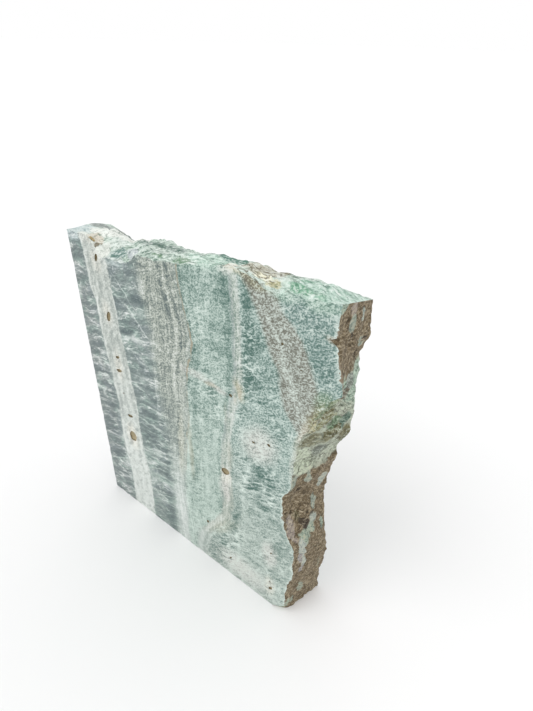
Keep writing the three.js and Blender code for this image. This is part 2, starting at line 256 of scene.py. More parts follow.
# Pinkish and creamy places of the face, colours of the top that run over its edge, and the stone
# beside the rind: colour, then x, z, half lengths, tilt and strength of each patch.
FACE_TINTS = (
    ((203, 199, 193), (
        (121, 108, 8, 10, -35, 0.7), (129, 40, 4, 9, 0, 0.6), (110, 12, 15, 8, 0, 0.5),
        (84, 129.4, 9, 2.0, 3, 0.5), (97, 127.6, 6, 1.6, -6, 0.6), (100, 68, 3.4, 9, 0, 0.6),
    )),
    ((222, 220, 208), (
        (28, 60, 4.4, 9, 0, 0.8), (22.6, 138, 3.4, 6, 0, 0.6), (25, 108, 3, 9, 0, 0.6),
        (101, 77, 3.4, 4.6, 0, 0.8), (130, 15, 3, 7, 0, 0.7), (20, 165, 4, 5, 0, 0.5),
    )),
    ((182, 182, 160), (
        (70, 78, 2.4, 20, -4, 0.5), (110, 133, 2.2, 5, 20, 0.7), (99, 37, 3, 12, -40, 0.4),
    )),
    ((196, 212, 212), ((4, 174, 6, 3.5, 0, 0.9),)),
    ((220, 223, 215), (
        (14, 175.4, 5, 2.4, 0, 0.8), (24, 170, 6, 2.6, -30, 0.7), (103.4, 187, 4, 3.4, 0, 0.9),
    )),
    ((178, 191, 190), ((36, 168.6, 8, 2.2, 5, 0.8),)),
    ((196, 208, 196), ((50, 175.4, 5, 2.2, 25, 0.7), (68, 179.6, 7, 1.6, 10, 0.7))),
    ((150, 176, 150), ((80, 181.8, 4, 1.6, 15, 0.7),)),
    ((184, 208, 194), ((92, 185, 9, 2.8, 14, 0.9),)),
    ((200, 198, 174), ((110.5, 186.6, 6, 1.8, 0, 0.8),)),
    ((150, 146, 112), ((119, 184.4, 6, 2.6, 0, 0.7), (146, 131, 3, 6, -20, 0.6))),
    ((164, 190, 174), ((130, 184, 6, 3, 0, 0.8), (146, 186, 8, 4, 0, 0.8))),
    ((128, 150, 126), ((150.6, 147, 3.4, 5, -25, 1.0),)),
    ((126, 128, 84), ((151, 141, 3.6, 5.6, -25, 0.9), (148, 135.4, 3.2, 4.2, -30, 0.8))),
    ((206, 204, 190), ((143, 126, 2.2, 8, -8, 0.8), (140.6, 108, 2.6, 8, 0, 0.6))),
    ((132, 118, 96), ((152.6, 173.4, 3.2, 1.5, -8, 1.0),)),
)
# Places where white threads fan out over dark green, in the same count.
FANS = (
    (121, 84, 11, 14, 0, 1.1), (93, 118, 13, 13, 0, 0.5), (115, 150, 6, 20, 8, 0.6),
    (88, 150, 8, 12, 0, 0.4), (102, 26, 5, 16, -25, 0.6), (79, 60, 5, 12, 0, 0.4),
)
# Fine pale threads, as x, z, half length, half width, tilt, and how much paler they are.
THREADS = (
    (38, 156, 10.5, 0.4, -45, 1.4), (35.5, 149.8, 7.5, 0.8, -27, 1.0),
    (47.5, 140.8, 8.5, 0.6, -45, 1.3), (59, 133.6, 6, 0.6, -16, 0.9), (15.6, 142, 0.7, 11, 0, 0.8),
    (41.6, 129.8, 10, 1.0, 4, 0.7), (39, 137, 8, 0.4, 20, 0.9), (43, 126, 7, 0.4, 32, 0.7),
    (14, 34, 8, 0.5, 34, 1.0), (50, 90.4, 13, 0.5, 6, 0.8), (48, 79, 13, 0.4, 1, 0.8),
    (49, 61.4, 13, 0.6, 20, 0.8), (144.6, 160, 10, 0.35, -66, 1.0),
    (136.6, 146, 13, 1.8, -63, 1.2), (128, 166, 9, 0.9, -58, 0.6), (127, 168, 8, 0.8, -55, 0.5),
    (108.6, 34, 1, 16, 0, 0.8), (114, 84, 1.2, 12, -8, 0.9), (112, 66, 1, 8, 4, 0.6),
    (87.6, 74, 1.2, 24, 0, 0.5), (86.6, 112, 0.5, 15, 0, 0.8), (134, 106, 9, 0.4, -30, 0.6),
    (52.6, 163, 2.0, 7, 0, 0.9), (55.6, 112, 0.7, 20, -2, 0.7), (96, 118, 12, 0.5, -22, 0.5),
    (122, 104, 0.5, 12, 24, 0.4), (105, 45, 0.7, 9, -30, 0.5), (124, 86, 7, 0.4, 12, 1.0),
    (125, 76.5, 7, 0.4, 10, 1.0), (126, 96, 8, 0.4, -28, 0.9), (127, 68.6, 6, 0.4, 14, 0.8),
    (116, 70, 5, 0.35, 42, 0.7), (132, 60, 8, 0.4, -35, 0.5), (104, 12, 0.8, 9, -10, 0.6),
    (97, 141, 9, 0.4, 25, 0.6), (99, 152.6, 8, 0.4, 14, 0.7), (96, 166, 7, 0.35, 30, 0.5),
    (65, 24, 0.5, 22, 2, 0.9), (68.4, 20, 0.4, 26, 4, 0.8), (72, 28, 0.5, 20, 6, 0.9),
    (75.4, 16, 0.4, 14, 8, 0.6), (88, 165, 0.5, 16, 0, 0.7), (92.4, 160, 0.4, 20, 0, 0.5),
    (54.4, 104, 0.5, 14, -2, 0.9), (84, 60, 0.5, 26, -2, 0.5), (81, 20, 0.4, 14, 24, 0.7),
    (112.5, 96, 0.5, 18, 6, 0.7), (117, 20, 0.5, 12, -4, 0.5), (96, 46, 0.5, 12, -30, 0.6),
)


# Shapes.


def smoothstep(value, low, high):
    """A smooth ramp: t squared times three less two t, with t the share from low to high."""
    t = np.clip((value - low) / (high - low), 0, 1)
    return t * t * (3 - 2 * t)


def read(table, at):
    """The value at each place of a table of (place, value) pairs, straight between them."""
    return np.interp(at, *zip(*table))


def scramble(i, j):
    """A fixed value from 0 to 1 for whole numbers i, j: two large primes times i and j are added,
    folded with their own high bits and multiplied again, all in 32 bits."""
    i, j = (np.asarray(n).astype(np.int64).astype(np.uint32) for n in (i, j))
    mixed = i * np.uint32(374761393) + j * np.uint32(668265263)
    again = (mixed ^ (mixed >> np.uint32(13))) * np.uint32(1274126177)
    return (again ^ (again >> np.uint32(16))) / 2**32


def noise(u, v):
    """Smooth noise from -1 to 1: the scrambled values at the four corners of the unit cell,
    blended by smooth ramps in u and v."""
    i, j = np.floor(u), np.floor(v)
    a, b = smoothstep(u - i, 0, 1), smoothstep(v - j, 0, 1)
    low = scramble(i, j) * (1 - a) + scramble(i + 1, j) * a
    high = scramble(i, j + 1) * (1 - a) + scramble(i + 1, j + 1) * a
    return 2 * (low * (1 - b) + high * b) - 1


def roughness(layers, along, y):
    """The sum of height times noise over the layers, each on its own shifted grid."""
    return sum(
        height * noise(along / cell + 17 * k, y / cell_y + 31 * k)
        for k, (cell, cell_y, height) in enumerate(layers)
    )


def lumps(table, along, y):
    """The sum of height times e to the minus squared distance, counted in reaches."""
    return sum(
        height * np.exp(-(((along - a) / reach) ** 2) - ((y - b) / reach_y) ** 2)
        for a, b, reach, reach_y, height in table
    )


def fibres(x, y):
    """Long fine ridges: the layers of roughness on coordinates turned by each tilt in its own
    stretch of the slab, faded into each other over eight millimetres."""
    relief = 0
    for k, (start, tilt) in enumerate(FIBRE_TILTS):
        end = FIBRE_TILTS[k + 1][0] if k + 1 < len(FIBRE_TILTS) else SPAN
        inside = smoothstep(x, start - FIBRE_BLEND, start + FIBRE_BLEND)
        inside = inside * (1 - smoothstep(x, end - FIBRE_BLEND, end + FIBRE_BLEND))
        turn = math.radians(tilt)
        along = x * math.cos(turn) + y * math.sin(turn)
        across = y * math.cos(turn) - x * math.sin(turn)
        relief = relief + inside * roughness(TOP_FIBRES, along, across)
    return relief


def holes(table, along, y):
    """Depth of the holes: depth times the root of one less the squared distance, counted in half
    widths and made uneven by noise, and zero outside."""
    depth = np.zeros(np.broadcast(along, y).shape)
    for a, b, half, half_y, deep in table:
        square = ((along - a) / half) ** 2 + ((y - b) / half_y) ** 2
        square = square * (1 + 0.35 * noise(along / 0.7 + a, y / 0.7 + b))
        depth = np.maximum(depth, deep * np.sqrt(np.clip(1 - square, 0, 1)))
    return depth


def fall(x, y):
    """The share of the way from the front profile to the back one: y over the thickness, taken in
    flat steps with short risers between the ends of the ledges."""
    share = y / THICKNESS
    start, end, blend = LEDGES["from"], LEDGES["to"], LEDGES["blend"]
    inside = smoothstep(x, start - blend, start) * (1 - smoothstep(x, end, end + blend))
    stage = share * LEDGES["steps"]
    rise = np.clip((stage - np.floor(stage) - 0.5) * LEDGES["sharpness"] + 0.5, 0, 1)
    return share + inside * ((np.floor(stage) + rise) / LEDGES["steps"] - share)


def crystals(x, y):
    """Blunt crystal heads: the highest of many leaning domes, each a slope less a squared
    distance, so that creases run between them."""
    chance = np.random.default_rng(11)
    count, steep, tilt = (CRYSTALS[key] for key in ("count", "steep", "tilt"))
    centre_x = chance.uniform(CRYSTALS["from"], CRYSTALS["to"], count)
    centre_y = chance.uniform(-2, THICKNESS + 2, count)
    lean = chance.uniform(-tilt, tilt, (count, 2))
    height = chance.uniform(-0.5, 0.5, count)
    top = np.full(np.broadcast(x, y).shape, -9.0)
    for k in range(count):
        dx, dy = x - centre_x[k], (y - centre_y[k]) * 1.3
        dome = height[k] + lean[k, 0] * dx + lean[k, 1] * dy - steep * (dx * dx + dy * dy)
        top = np.maximum(top, dome)
    start, end, blend = CRYSTALS["from"], CRYSTALS["to"], CRYSTALS["blend"]
    inside = smoothstep(x, start, start + blend) * (1 - smoothstep(x, end - blend, end))
    return inside * np.clip(top + 0.4, -1.2, 1.2)


def corner_line(y):
    """x and z of the line where the top meets the end, straight from front to back."""
    share = y / THICKNESS
    return (a + (b - a) * share for a, b in zip(CORNER_FRONT, CORNER_BACK))


def top_surface(share, y):
    """The broken top: z between the front and back profiles by the fall, plus lumps, roughness,
    crystal heads and fine fibres whose lines are bent by slow noise, less the holes."""
    corner_x, _ = corner_line(y)
    x = share * corner_x
    front = read(TOP_FRONT, share * CORNER_FRONT[0])
    back = read(TOP_BACK, share * CORNER_FRONT[0])
    calm = smoothstep(x, 0, CALM)
    bend = 2.6 * noise(x / 15, y / 9) + 0.9 * noise(x / 5, y / 5)
    fine = fibres(x + bend, y + 0.8 * bend) + crystals(x, y)
    relief = lumps(TOP_LUMPS, x, y) + (roughness(TOP_ROUGHNESS, x, y) + fine) * calm
    hollow = holes(TOP_HOLES, x, y)
    fade = np.clip((corner_x - x) / FADE, 0, 1)
    z = front + (back - front) * fall(x, y) + relief * fade - hollow
    return x, z, hollow


def end_surface(share, y):
    """The natural end: x between the front and back profiles by depth, plus lumps, roughness and
    grain, less the holes."""
    _, corner_z = corner_line(y)
    z = share * corner_z
    front = read(END_FRONT, share * CORNER_FRONT[1])
    back = read(END_BACK, share * CORNER_FRONT[1])
    relief = lumps(END_LUMPS, z, y) + roughness(END_ROUGHNESS, z, y)
    grain = roughness(RIND_GRAIN, z, y)
    hollow = holes(END_HOLES, z, y)
    fade = np.clip((corner_z - z) / FADE, 0, 1)
    x = front + (back - front) * y / THICKNESS + relief * fade + grain - hollow
    return x, z, hollow


def worn_edge(place, y, wear):
    """How far a sawn edge is worn back: a quarter circle of its radius next to each face, the
    radius being the wear with noise and a few deeper nicks along the edge."""
    near_back = y > THICKNESS / 2
    from_face = np.where(near_back, THICKNESS - y, y)
    seed = np.where(near_back, 57.0, 3.0)
    nick = smoothstep(noise(place / 3.1 + seed, seed), 0.35, 0.95)
    radius = wear * (0.75 + 0.25 * noise(place / 1.7 + seed, seed)) + 2.2 * wear * nick
    gap = np.clip(radius - from_face, 0, None)
    return radius - np.sqrt(np.clip(radius**2 - gap**2, 0, None))


def rim_grid(cells, wear):
    """The whole edge of the slab as a grid: columns go round base, end, top and sawn side, and
    rows go from the front face to the back. Each stretch is a function of its share and y."""
    near = np.array(EDGE_ROWS)
    middle = np.linspace(near[-1], THICKNESS - near[-1], cells["rows"] + 1)
    y = np.concatenate([near[:-1], middle, (THICKNESS - near[:-1])[::-1]])[:, None]
    ends = {name: np.arange(count) / count for name, count in cells.items() if name != "rows"}
    turn = wear  # the edge where the base meets the sawn side

    foot_x, _, _ = end_surface(np.zeros(1), y)
    _, head_z, _ = top_surface(np.zeros(1), y)
    base_x = turn + ends["base"] * (foot_x - turn)
    base_z = worn_edge(base_x, y, wear) * np.ones_like(base_x)
    end_x, end_z, end_hollow = end_surface(ends["end"], y)
    end_z = end_z + base_z[:, -1:] * (1 - smoothstep(end_z, 0, 1))
    top_x, top_z, top_hollow = top_surface(1 - ends["top"], y)
    side_z = head_z + ends["side"] * (turn - head_z)
    side_x = worn_edge(side_z, y, wear) * np.ones_like(side_z)
    side_x = side_x * smoothstep(ends["side"], 0, 0.02)
    x = np.hstack([base_x, end_x, top_x, side_x])
    z = np.hstack([base_z, end_z, top_z, side_z])
    hollow = np.hstack([0 * base_x, end_hollow, top_hollow, 0 * side_x])
    part = np.repeat([0, 1, 2, 0], [stretch.shape[1] for stretch in (base_x, end_x, top_x, side_x)])
    return np.stack([x, np.broadcast_to(y, x.shape), z], -1), hollow, part


def pit_rings(pit, sides):
    """One pit of the front face as rings: the rim is an ellipse with a noisy radius, and each
    ring inside is the rim times s at a depth of the root of one less s squared."""
    (x, z), (half_width, half_height), turn, depth = pit
    angle = np.linspace(0, 2 * np.pi, sides, endpoint=False)
    uneven = 1 + 0.16 * noise(np.cos(angle) * 1.7 + x, np.sin(angle) * 1.7 + z)
    share = np.array(RING_SHARES)[:, None]
    u = share * uneven * half_width * np.cos(angle)
    v = share * uneven * half_height * np.sin(angle)
    lean = math.radians(-turn)
    across = x + u * math.cos(lean) - v * math.sin(lean)
    up = z + u * math.sin(lean) + v * math.cos(lean)
    floor = depth * np.sqrt(1 - share**2) * (1 + 0.3 * noise(across / 0.6, up / 0.6))
    return np.stack([across, floor, up], -1)


def crosses(ring, outline):
    """True if a pit's rim comes closer to the slab's outline than the least gap."""
    gaps = np.linalg.norm(ring[:, None, [0, 2]] - outline[None, :, [0, 2]], axis=-1)
    return gaps.min() < PIT_GAP


def fill_cap(points, outline, rings):
    """Triangles over one flat face, inside the outline and outside the rings, as a constrained
    Delaunay triangulation in x and z. All turn the same way, anticlockwise from the front."""
    loops = [outline, *rings]
    order = np.concatenate(loops)
    starts = np.cumsum([0, *map(len, loops)])
    edges = [
        (int(start + k), int(start + (k + 1) % len(loop)))
        for start, loop in zip(starts, loops)
        for k in range(len(loop))
    ]
    flat = [Vector((x, z)) for x, z in points[order][:, [0, 2]]]
    _, _, triangles, sources, _, _ = geometry.delaunay_2d_cdt(flat, edges, [], 1, SAME_PLACE)
    lookup = np.array([source[0] for source in sources])
    local = lookup[np.array([list(t) for t in triangles])]
    ring_of = np.searchsorted(starts, local, side="right") - 1
    in_pit = (ring_of[:, 0] > 0) & (ring_of == ring_of[:, :1]).all(1)
    found = order[local[~in_pit]]
    a, b, c = (points[found[:, k]][:, [0, 2]] for k in range(3))
    area = (b[:, 0] - a[:, 0]) * (c[:, 1] - a[:, 1]) - (b[:, 1] - a[:, 1]) * (c[:, 0] - a[:, 0])
    found[area < 0] = found[area < 0][:, ::-1]
    return found[np.abs(area) > NO_AREA]


def slab_mesh(cells, wear, pit_sides):
    """The closed mesh: the edge grid, its two caps, and the pits let into the front cap. Returns
    points, triangles and quads, the stone of each face and whether it is flat, and the hollow
    value of each point."""
    grid, hollow, part = rim_grid(cells, wear)
    rows, columns = hollow.shape
    index = np.arange(rows * columns).reshape(rows, columns)
    right = np.roll(index, -1, axis=1)
    quads = np.stack([index[:-1], index[1:], right[1:], right[:-1]], -1).reshape(-1, 4)
    quad_stone = np.tile(part, rows - 1)
    points, hollows = [grid.reshape(-1, 3)], [hollow.ravel()]
    count = rows * columns
    rims, pit_quads, pit_tips = [], [], []
    for pit in FACE_PITS:
        rings = pit_rings(pit, pit_sides)
        if crosses(rings[0], grid[0]):
            raise ValueError(f"the pit at {pit[0]} comes too near the slab's outline")
        ids = count + np.arange(rings.shape[0] * pit_sides).reshape(-1, pit_sides)
        after = np.roll(ids, -1, axis=1)
        pit_quads.append(np.stack([ids[:-1], after[:-1], after[1:], ids[1:]], -1).reshape(-1, 4))
        tip = ids[-1, -1] + 1
        pit_tips.append(np.stack([ids[-1], after[-1], np.full(pit_sides, tip)], -1))
        points += [rings.reshape(-1, 3), rings[-1].mean(0)[None] + [[0, 0.02, 0]]]
        deep = np.repeat(np.minimum(1.0, rings[:, :, 1].mean(1)), pit_sides)
        hollows += [deep, [1.0]]
        rims.append(ids[0])
        count = tip + 1
    points = np.concatenate(points)
    front = fill_cap(points, index[0], rims)
    back = fill_cap(points, index[-1], [])[:, ::-1]
    triangles = np.concatenate([front, back, *pit_tips])
    quads = np.concatenate([quads, *pit_quads])
    extra = np.zeros(len(quads) - len(quad_stone), int)
    stone = np.concatenate([np.zeros(len(triangles), int), quad_stone, extra])
    flat = np.zeros(len(stone), bool)
    flat[: len(front) + len(back)] = True
    return points, triangles, quads, stone, flat, np.concatenate(hollows)


def make_object(name, points, triangles, quads):
    """Puts points and faces into a new mesh object at the origin."""
    mesh = bpy.data.meshes.new(name)
    loops = np.concatenate([triangles.ravel(), quads.ravel()]).astype(np.int32)
    sizes = np.concatenate([np.full(len(triangles), 3), np.full(len(quads), 4)])
    mesh.vertices.add(len(points))
    mesh.vertices.foreach_set("co", points.astype(np.float32).ravel())
    mesh.loops.add(len(loops))
    mesh.loops.foreach_set("vertex_index", loops)
    mesh.polygons.add(len(sizes))
    mesh.polygons.foreach_set("loop_start", (np.cumsum(sizes) - sizes).astype(np.int32))
    mesh.update(calc_edges=True)
    if mesh.validate():
        raise ValueError(f"the mesh of {name} had faults that had to be mended")
    piece = bpy.data.objects.new(name, mesh)
    bpy.context.scene.collection.objects.link(piece)
    return piece


# Shader maths.


def linear(rgb):
    """A colour given as three numbers up to 255, made linear: ((c + 0.055) / 1.055) to the 2.4."""
    shares = [c / 255 for c in rgb]
    return [s / 12.92 if s <= 0.04045 else ((s + 0.055) / 1.055) ** 2.4 for s in shares]


PLANES = {"front": (0, 2, 1), "top": (0, 1, 2), "end": (1, 2, 0)}  # along, across, through
MIDDLES = {"front": 0.0, "top": 178.0, "end": 146.0}  # where a plane's patches lie in depth
PATCH_DEPTH = 60.0  # how far a patch reaches through the stone
TONE_STEP = 52.0  # brightness steps that one unit of tone stands for
NOISE_SHIFT, WARP_SHIFT = (37.1, 11.3, 23.7), (19.7, 7.9, 13.1)  # shift of a noise for each seed


class Value:
    """A number socket of a shader. Each operator on it adds one Math node."""

    def __init__(self, shader, socket):
        self.shader = shader
        self.socket = socket

    def __add__(self, other):
        return self.shader.math("ADD", self, other)

    __radd__ = __add__

    def __sub__(self, other):
        return self.shader.math("SUBTRACT", self, other)

    def __rsub__(self, other):
        return self.shader.math("SUBTRACT", other, self)

    def __mul__(self, other):
        return self.shader.math("MULTIPLY", self, other)

    __rmul__ = __mul__

    def __truediv__(self, other):
        return self.shader.math("DIVIDE", self, other)

    def __neg__(self):
        return self.shader.math("MULTIPLY", self, -1)

    def __abs__(self):
        return self.shader.math("ABSOLUTE", self)

    def below(self, other):
        """The smaller of two values."""
        return self.shader.math("MINIMUM", self, other)

    def above(self, other):
        """The larger of two values."""
        return self.shader.math("MAXIMUM", self, other)

    def ramp(self, low, high, start=0.0, end=1.0):
        """A smooth ramp from start at low to end at high, flat outside."""
        settings = {"interpolation_type": "SMOOTHSTEP", "clamp": False}
        inputs = {"Value": self, 1: low, 2: high, 3: start, 4: end}
        if low > high:
            inputs.update({1: high, 2: low, 3: end, 4: start})
        return Value(self.shader, self.shader.node("ShaderNodeMapRange", settings, inputs).outputs[0])


class Stone:
    """One material of the slab. Its coordinates are the slab's own count of millimetres, bent by
    its warps, and its noises lie in one plane of the slab and come from a table."""

    def __init__(self, name, plane, warps, noises):
        self.plane, self.noises = plane, noises
        self.material = bpy.data.materials.new(name)
        self.material.use_nodes = True
        self.tree = self.material.node_tree
        self.tree.nodes.clear()
        place = self.node("ShaderNodeTexCoord").outputs["Object"]
        settings = {"operation": "MULTIPLY_ADD"}
        inputs = {0: place, 1: (1 / MM,) * 3, 2: tuple(-LOW)}
        self.warped = self.node("ShaderNodeVectorMath", settings, inputs).outputs[0]
        for seed, cell, reach in warps:
            self.warped = self.warp(self.warped, seed, cell, reach)

    def node(self, kind, settings=None, inputs=None):
        """Adds a node: its settings first, then its sockets, by name or place."""
        made = self.tree.nodes.new(kind)
        for key, value in (settings or {}).items():
            setattr(made, key, value)
        for key, value in (inputs or {}).items():
            socket = made.inputs[key]
            value = value.socket if isinstance(value, Value) else value
            if isinstance(value, bpy.types.NodeSocket):
                self.tree.links.new(value, socket)
            else:
                socket.default_value = value
        return made

    def attribute(self, name):
        """A value kept at the points of the mesh."""
        made = self.node("ShaderNodeAttribute", {"attribute_name": name})
        return Value(self, made.outputs["Fac"])

    def math(self, operation, *values):
        """One Math node on values and numbers."""
        settings = {"operation": operation}
        return Value(self, self.node("ShaderNodeMath", settings, dict(enumerate(values))).outputs[0])

    def split(self, vector):
        """The three parts of a vector as values."""
        parts = self.node("ShaderNodeSeparateXYZ", None, {0: vector}).outputs
        return [Value(self, part) for part in parts]

    def mix(self, share, first, second):
        """A colour between two colours, each a socket or three numbers up to 255."""
        colours = {6: first, 7: second}
        colours = {k: (*linear(c), 1) if isinstance(c, tuple) else c for k, c in colours.items()}
        settings = {"data_type": "RGBA", "clamp_factor": True}
        return self.node("ShaderNodeMix", settings, {0: share, **colours}).outputs[2]

    def placed(self, vector, centre, tilt, scale):
        """Coordinates counted from centre, turned to lie along a line that rises by tilt degrees
        in the plane of the front (x, z), the top (x, y) or the end (y, z), and divided by scale."""
        turn = [0.0, 0.0, 0.0]
        turn[PLANES[self.plane][2]] = math.radians(-tilt if self.plane == "front" else tilt)
        inputs = {"Vector": vector, "Location": centre, "Rotation": turn, "Scale": scale}
        return self.node("ShaderNodeMapping", {"vector_type": "TEXTURE"}, inputs).outputs[0]

    def drawn_out(self, seed, tilt, length, width):
        """Coordinates whose cells are drawn out along a line that rises by tilt degrees."""
        along, across, through = PLANES[self.plane]
        scale = [0.0, 0.0, 0.0]
        scale[along], scale[across], scale[through] = length, width, (length + width) / 2
        centre = tuple(seed * shift for shift in NOISE_SHIFT)
        return self.placed(self.warped, centre, tilt, scale)

    def streaks(self, name):
        """The fractal noise of that name in the table, from 0 to 1."""
        seed, tilt, length, width, *rest = self.noises[name]
        detail, rough, twist = (*rest, *USUAL_NOISE[len(rest):])
        grid = self.drawn_out(seed, tilt, length, width)
        inputs = {"Vector": grid, "Scale": 1.0, "Detail": detail, "Roughness": rough, "Distortion": twist}
        return Value(self, self.node("ShaderNodeTexNoise", None, inputs).outputs[0])

    def cells(self, name):
        """Distance to the border of long, lens-shaped cells: 0 on the border."""
        inputs = {"Vector": self.drawn_out(*self.noises[name]), "Scale": 1.0}
        made = self.node("ShaderNodeTexVoronoi", {"feature": "DISTANCE_TO_EDGE"}, inputs)
        return Value(self, made.outputs["Distance"])

    def warp(self, vector, seed, cell, reach):
        """The vector moved about by noise, up to about half of reach each way."""
        centre = tuple(seed * shift for shift in WARP_SHIFT)
        grid = self.placed(vector, centre, 0, (cell,) * 3)
        inputs = {"Vector": grid, "Scale": 1.0, "Detail": 1.0}
        colour = self.node("ShaderNodeTexNoise", None, inputs).outputs[1]
        settings = {"operation": "MULTIPLY_ADD"}
        inputs = {0: colour, 1: (reach,) * 3, 2: (-reach / 2,) * 3}
        moved = self.node("ShaderNodeVectorMath", settings, inputs).outputs[0]
        return self.node("ShaderNodeMapping", None, {"Vector": vector, "Location": moved}).outputs[0]

    def patch(self, centre, tilt, halves, soft):
        """1 inside an ellipse drawn in the stone's plane and 0 outside it, with a soft edge. It
        reaches far through the stone at right angles to the plane."""
        along, across, through = PLANES[self.plane]
        middle, scale = [0.0, 0.0, 0.0], [0.0, 0.0, 0.0]
        middle[along], middle[across], middle[through] = (*centre, MIDDLES[self.plane])
        scale[along], scale[across] = (half * (1 + soft) for half in halves)
        scale[through] = PATCH_DEPTH
        grid = self.placed(self.warped, middle, tilt, scale)
        settings = {"gradient_type": "SPHERICAL"}
        inside = self.node("ShaderNodeTexGradient", settings, {"Vector": grid}).outputs["Fac"]
        return Value(self, inside).ramp(0, 2 * soft / (1 + soft))

    def track(self, table, over, low=0.0, high=SPAN, top=SPAN):
        """The height of a drawn curve, given as (place, value) pairs, at the value over. Places
        run from low to high and values from nothing to top."""
        made = self.node("ShaderNodeFloatCurve", None, {"Value": (over - low) / (high - low)})
        points = made.mapping.curves[0].points
        pairs = sorted(((place - low) / (high - low), value / top) for place, value in table)
        made.mapping.extend = "HORIZONTAL"
        points[0].location, points[-1].location = pairs[0], pairs[-1]
        for pair in pairs[1:-1]:
            points.new(*pair)
        made.mapping.update()
        return Value(self, made.outputs[0]) * top

    def bands(self, table, over, middle):
        """Brightness bands as a tone: how far the drawn brightness is from the middle one."""
        drawn = self.track(table, over, table[0][0], table[-1][0], 255.0)
        return (drawn - middle) / TONE_STEP

    def heights(self, tables, over, z, middle):
        """Bands drawn at three heights, blended from one to the next up the slab."""
        foot, waist, head = (self.bands(table, over, middle) for table in tables)
        low, high = z.ramp(55, 85), z.ramp(105, 135)
        return foot + (waist - foot) * low + (head - waist) * high

    def finish(self, colour, rough, height, depth):
        """The surface itself: colour, roughness, and a bump from height times depth in mm."""
        inputs = {"Strength": 1.0, "Distance": depth * MM, "Height": height}
        bump = self.node("ShaderNodeBump", None, inputs).outputs[0]
        inputs = {"Base Color": colour, "Roughness": rough, "Normal": bump}
        surface = self.node("ShaderNodeBsdfPrincipled", None, inputs)
        self.node("ShaderNodeOutputMaterial", None, {"Surface": surface.outputs[0]})
        return self.material


# Materials. A noise in their tables is its seed, tilt in degrees, length and width in
# millimetres, and then its detail, roughness and twist where they aren't the usual ones.
USUAL_NOISE = (2.0, 0.55, 0.0)


def between(value, low, high, soft):
    """1 where value is between low and high, with ramps twice as wide as soft."""
    return (value - low).ramp(-soft, soft) * (high - value).ramp(-soft, soft)


def ridges(noise_value, width):
    """Thin lines where a noise passes its middle: 1 on the line and 0 beyond the width."""
    return abs(noise_value - 0.5).ramp(width, 0.0)


def total(stone, rows, soft):
    """The sum of the patches in a table, each times its own tone."""
    tone = None
    for a, b, half_a, half_b, tilt, level in rows:
        spot = stone.patch((a, b), tilt, (half_a, half_b), soft) * level
        tone = spot if tone is None else tone + spot
    return tone


def tinted(stone, colour, tints, soft, fray=None):
    """Mixes each tint into a colour over its own patches. Their borders are soft, or ragged where
    a noise called fray is added before the border is drawn."""
    for tint, rows in tints:
        cover = total(stone, rows, soft)
        cover = cover.below(1.0) if fray is None else (cover + fray).ramp(0.3, 0.7)
        colour = stone.mix(cover, colour, tint)
    return colour


def shaded(stone, colour, tone, deep, pale, lift):
    """Darkens a colour towards deep where tone is below zero, by s / (1 + 0.55 s), and lightens it
    towards pale where tone is above zero, by s / (1 + 0.5 s), so that no part of it goes flat."""
    shade = (-tone).above(0.0)
    colour = stone.mix(shade / (1 + shade * 0.55), colour, deep)
    light = (tone * lift).above(0.0)
    return stone.mix(light / (1 + light * 0.5), colour, pale)


# Stone of each upright band as its colour low down and high up.
SAWN = {
    "blue": ((151, 166, 159), (144, 157, 153)), "lilac": ((170, 182, 175), (166, 174, 162)),
    "green": ((169, 187, 177), (156, 176, 167)), "cream": ((178, 185, 174), (170, 182, 172)),
    "teal": ((161, 177, 168), (154, 174, 167)), "fresh": ((169, 182, 174), (120, 144, 139)),
    "tan": ((154, 161, 152), (155, 161, 152)), "vein": ((200, 207, 201), (186, 193, 186)),
    "foot": ((189, 197, 190), (189, 197, 190)), "first": ((128, 138, 135), (130, 140, 137)),
}
DEEP_BLUE, DEEP_GREEN, DEEP_TAN = (63, 83, 85), (50, 92, 82), (88, 86, 72)
PALE, PALE_GREEN = (232, 236, 233), (216, 228, 220)
SEA_GREEN, SLATE = (150, 173, 163), (136, 147, 151)
LINE_BROWN, OCHRE, SKIN = (158, 146, 122), (162, 146, 108), (126, 112, 92)
PIT_RIM, PIT_FLOOR = (112, 100, 70), (184, 172, 142)
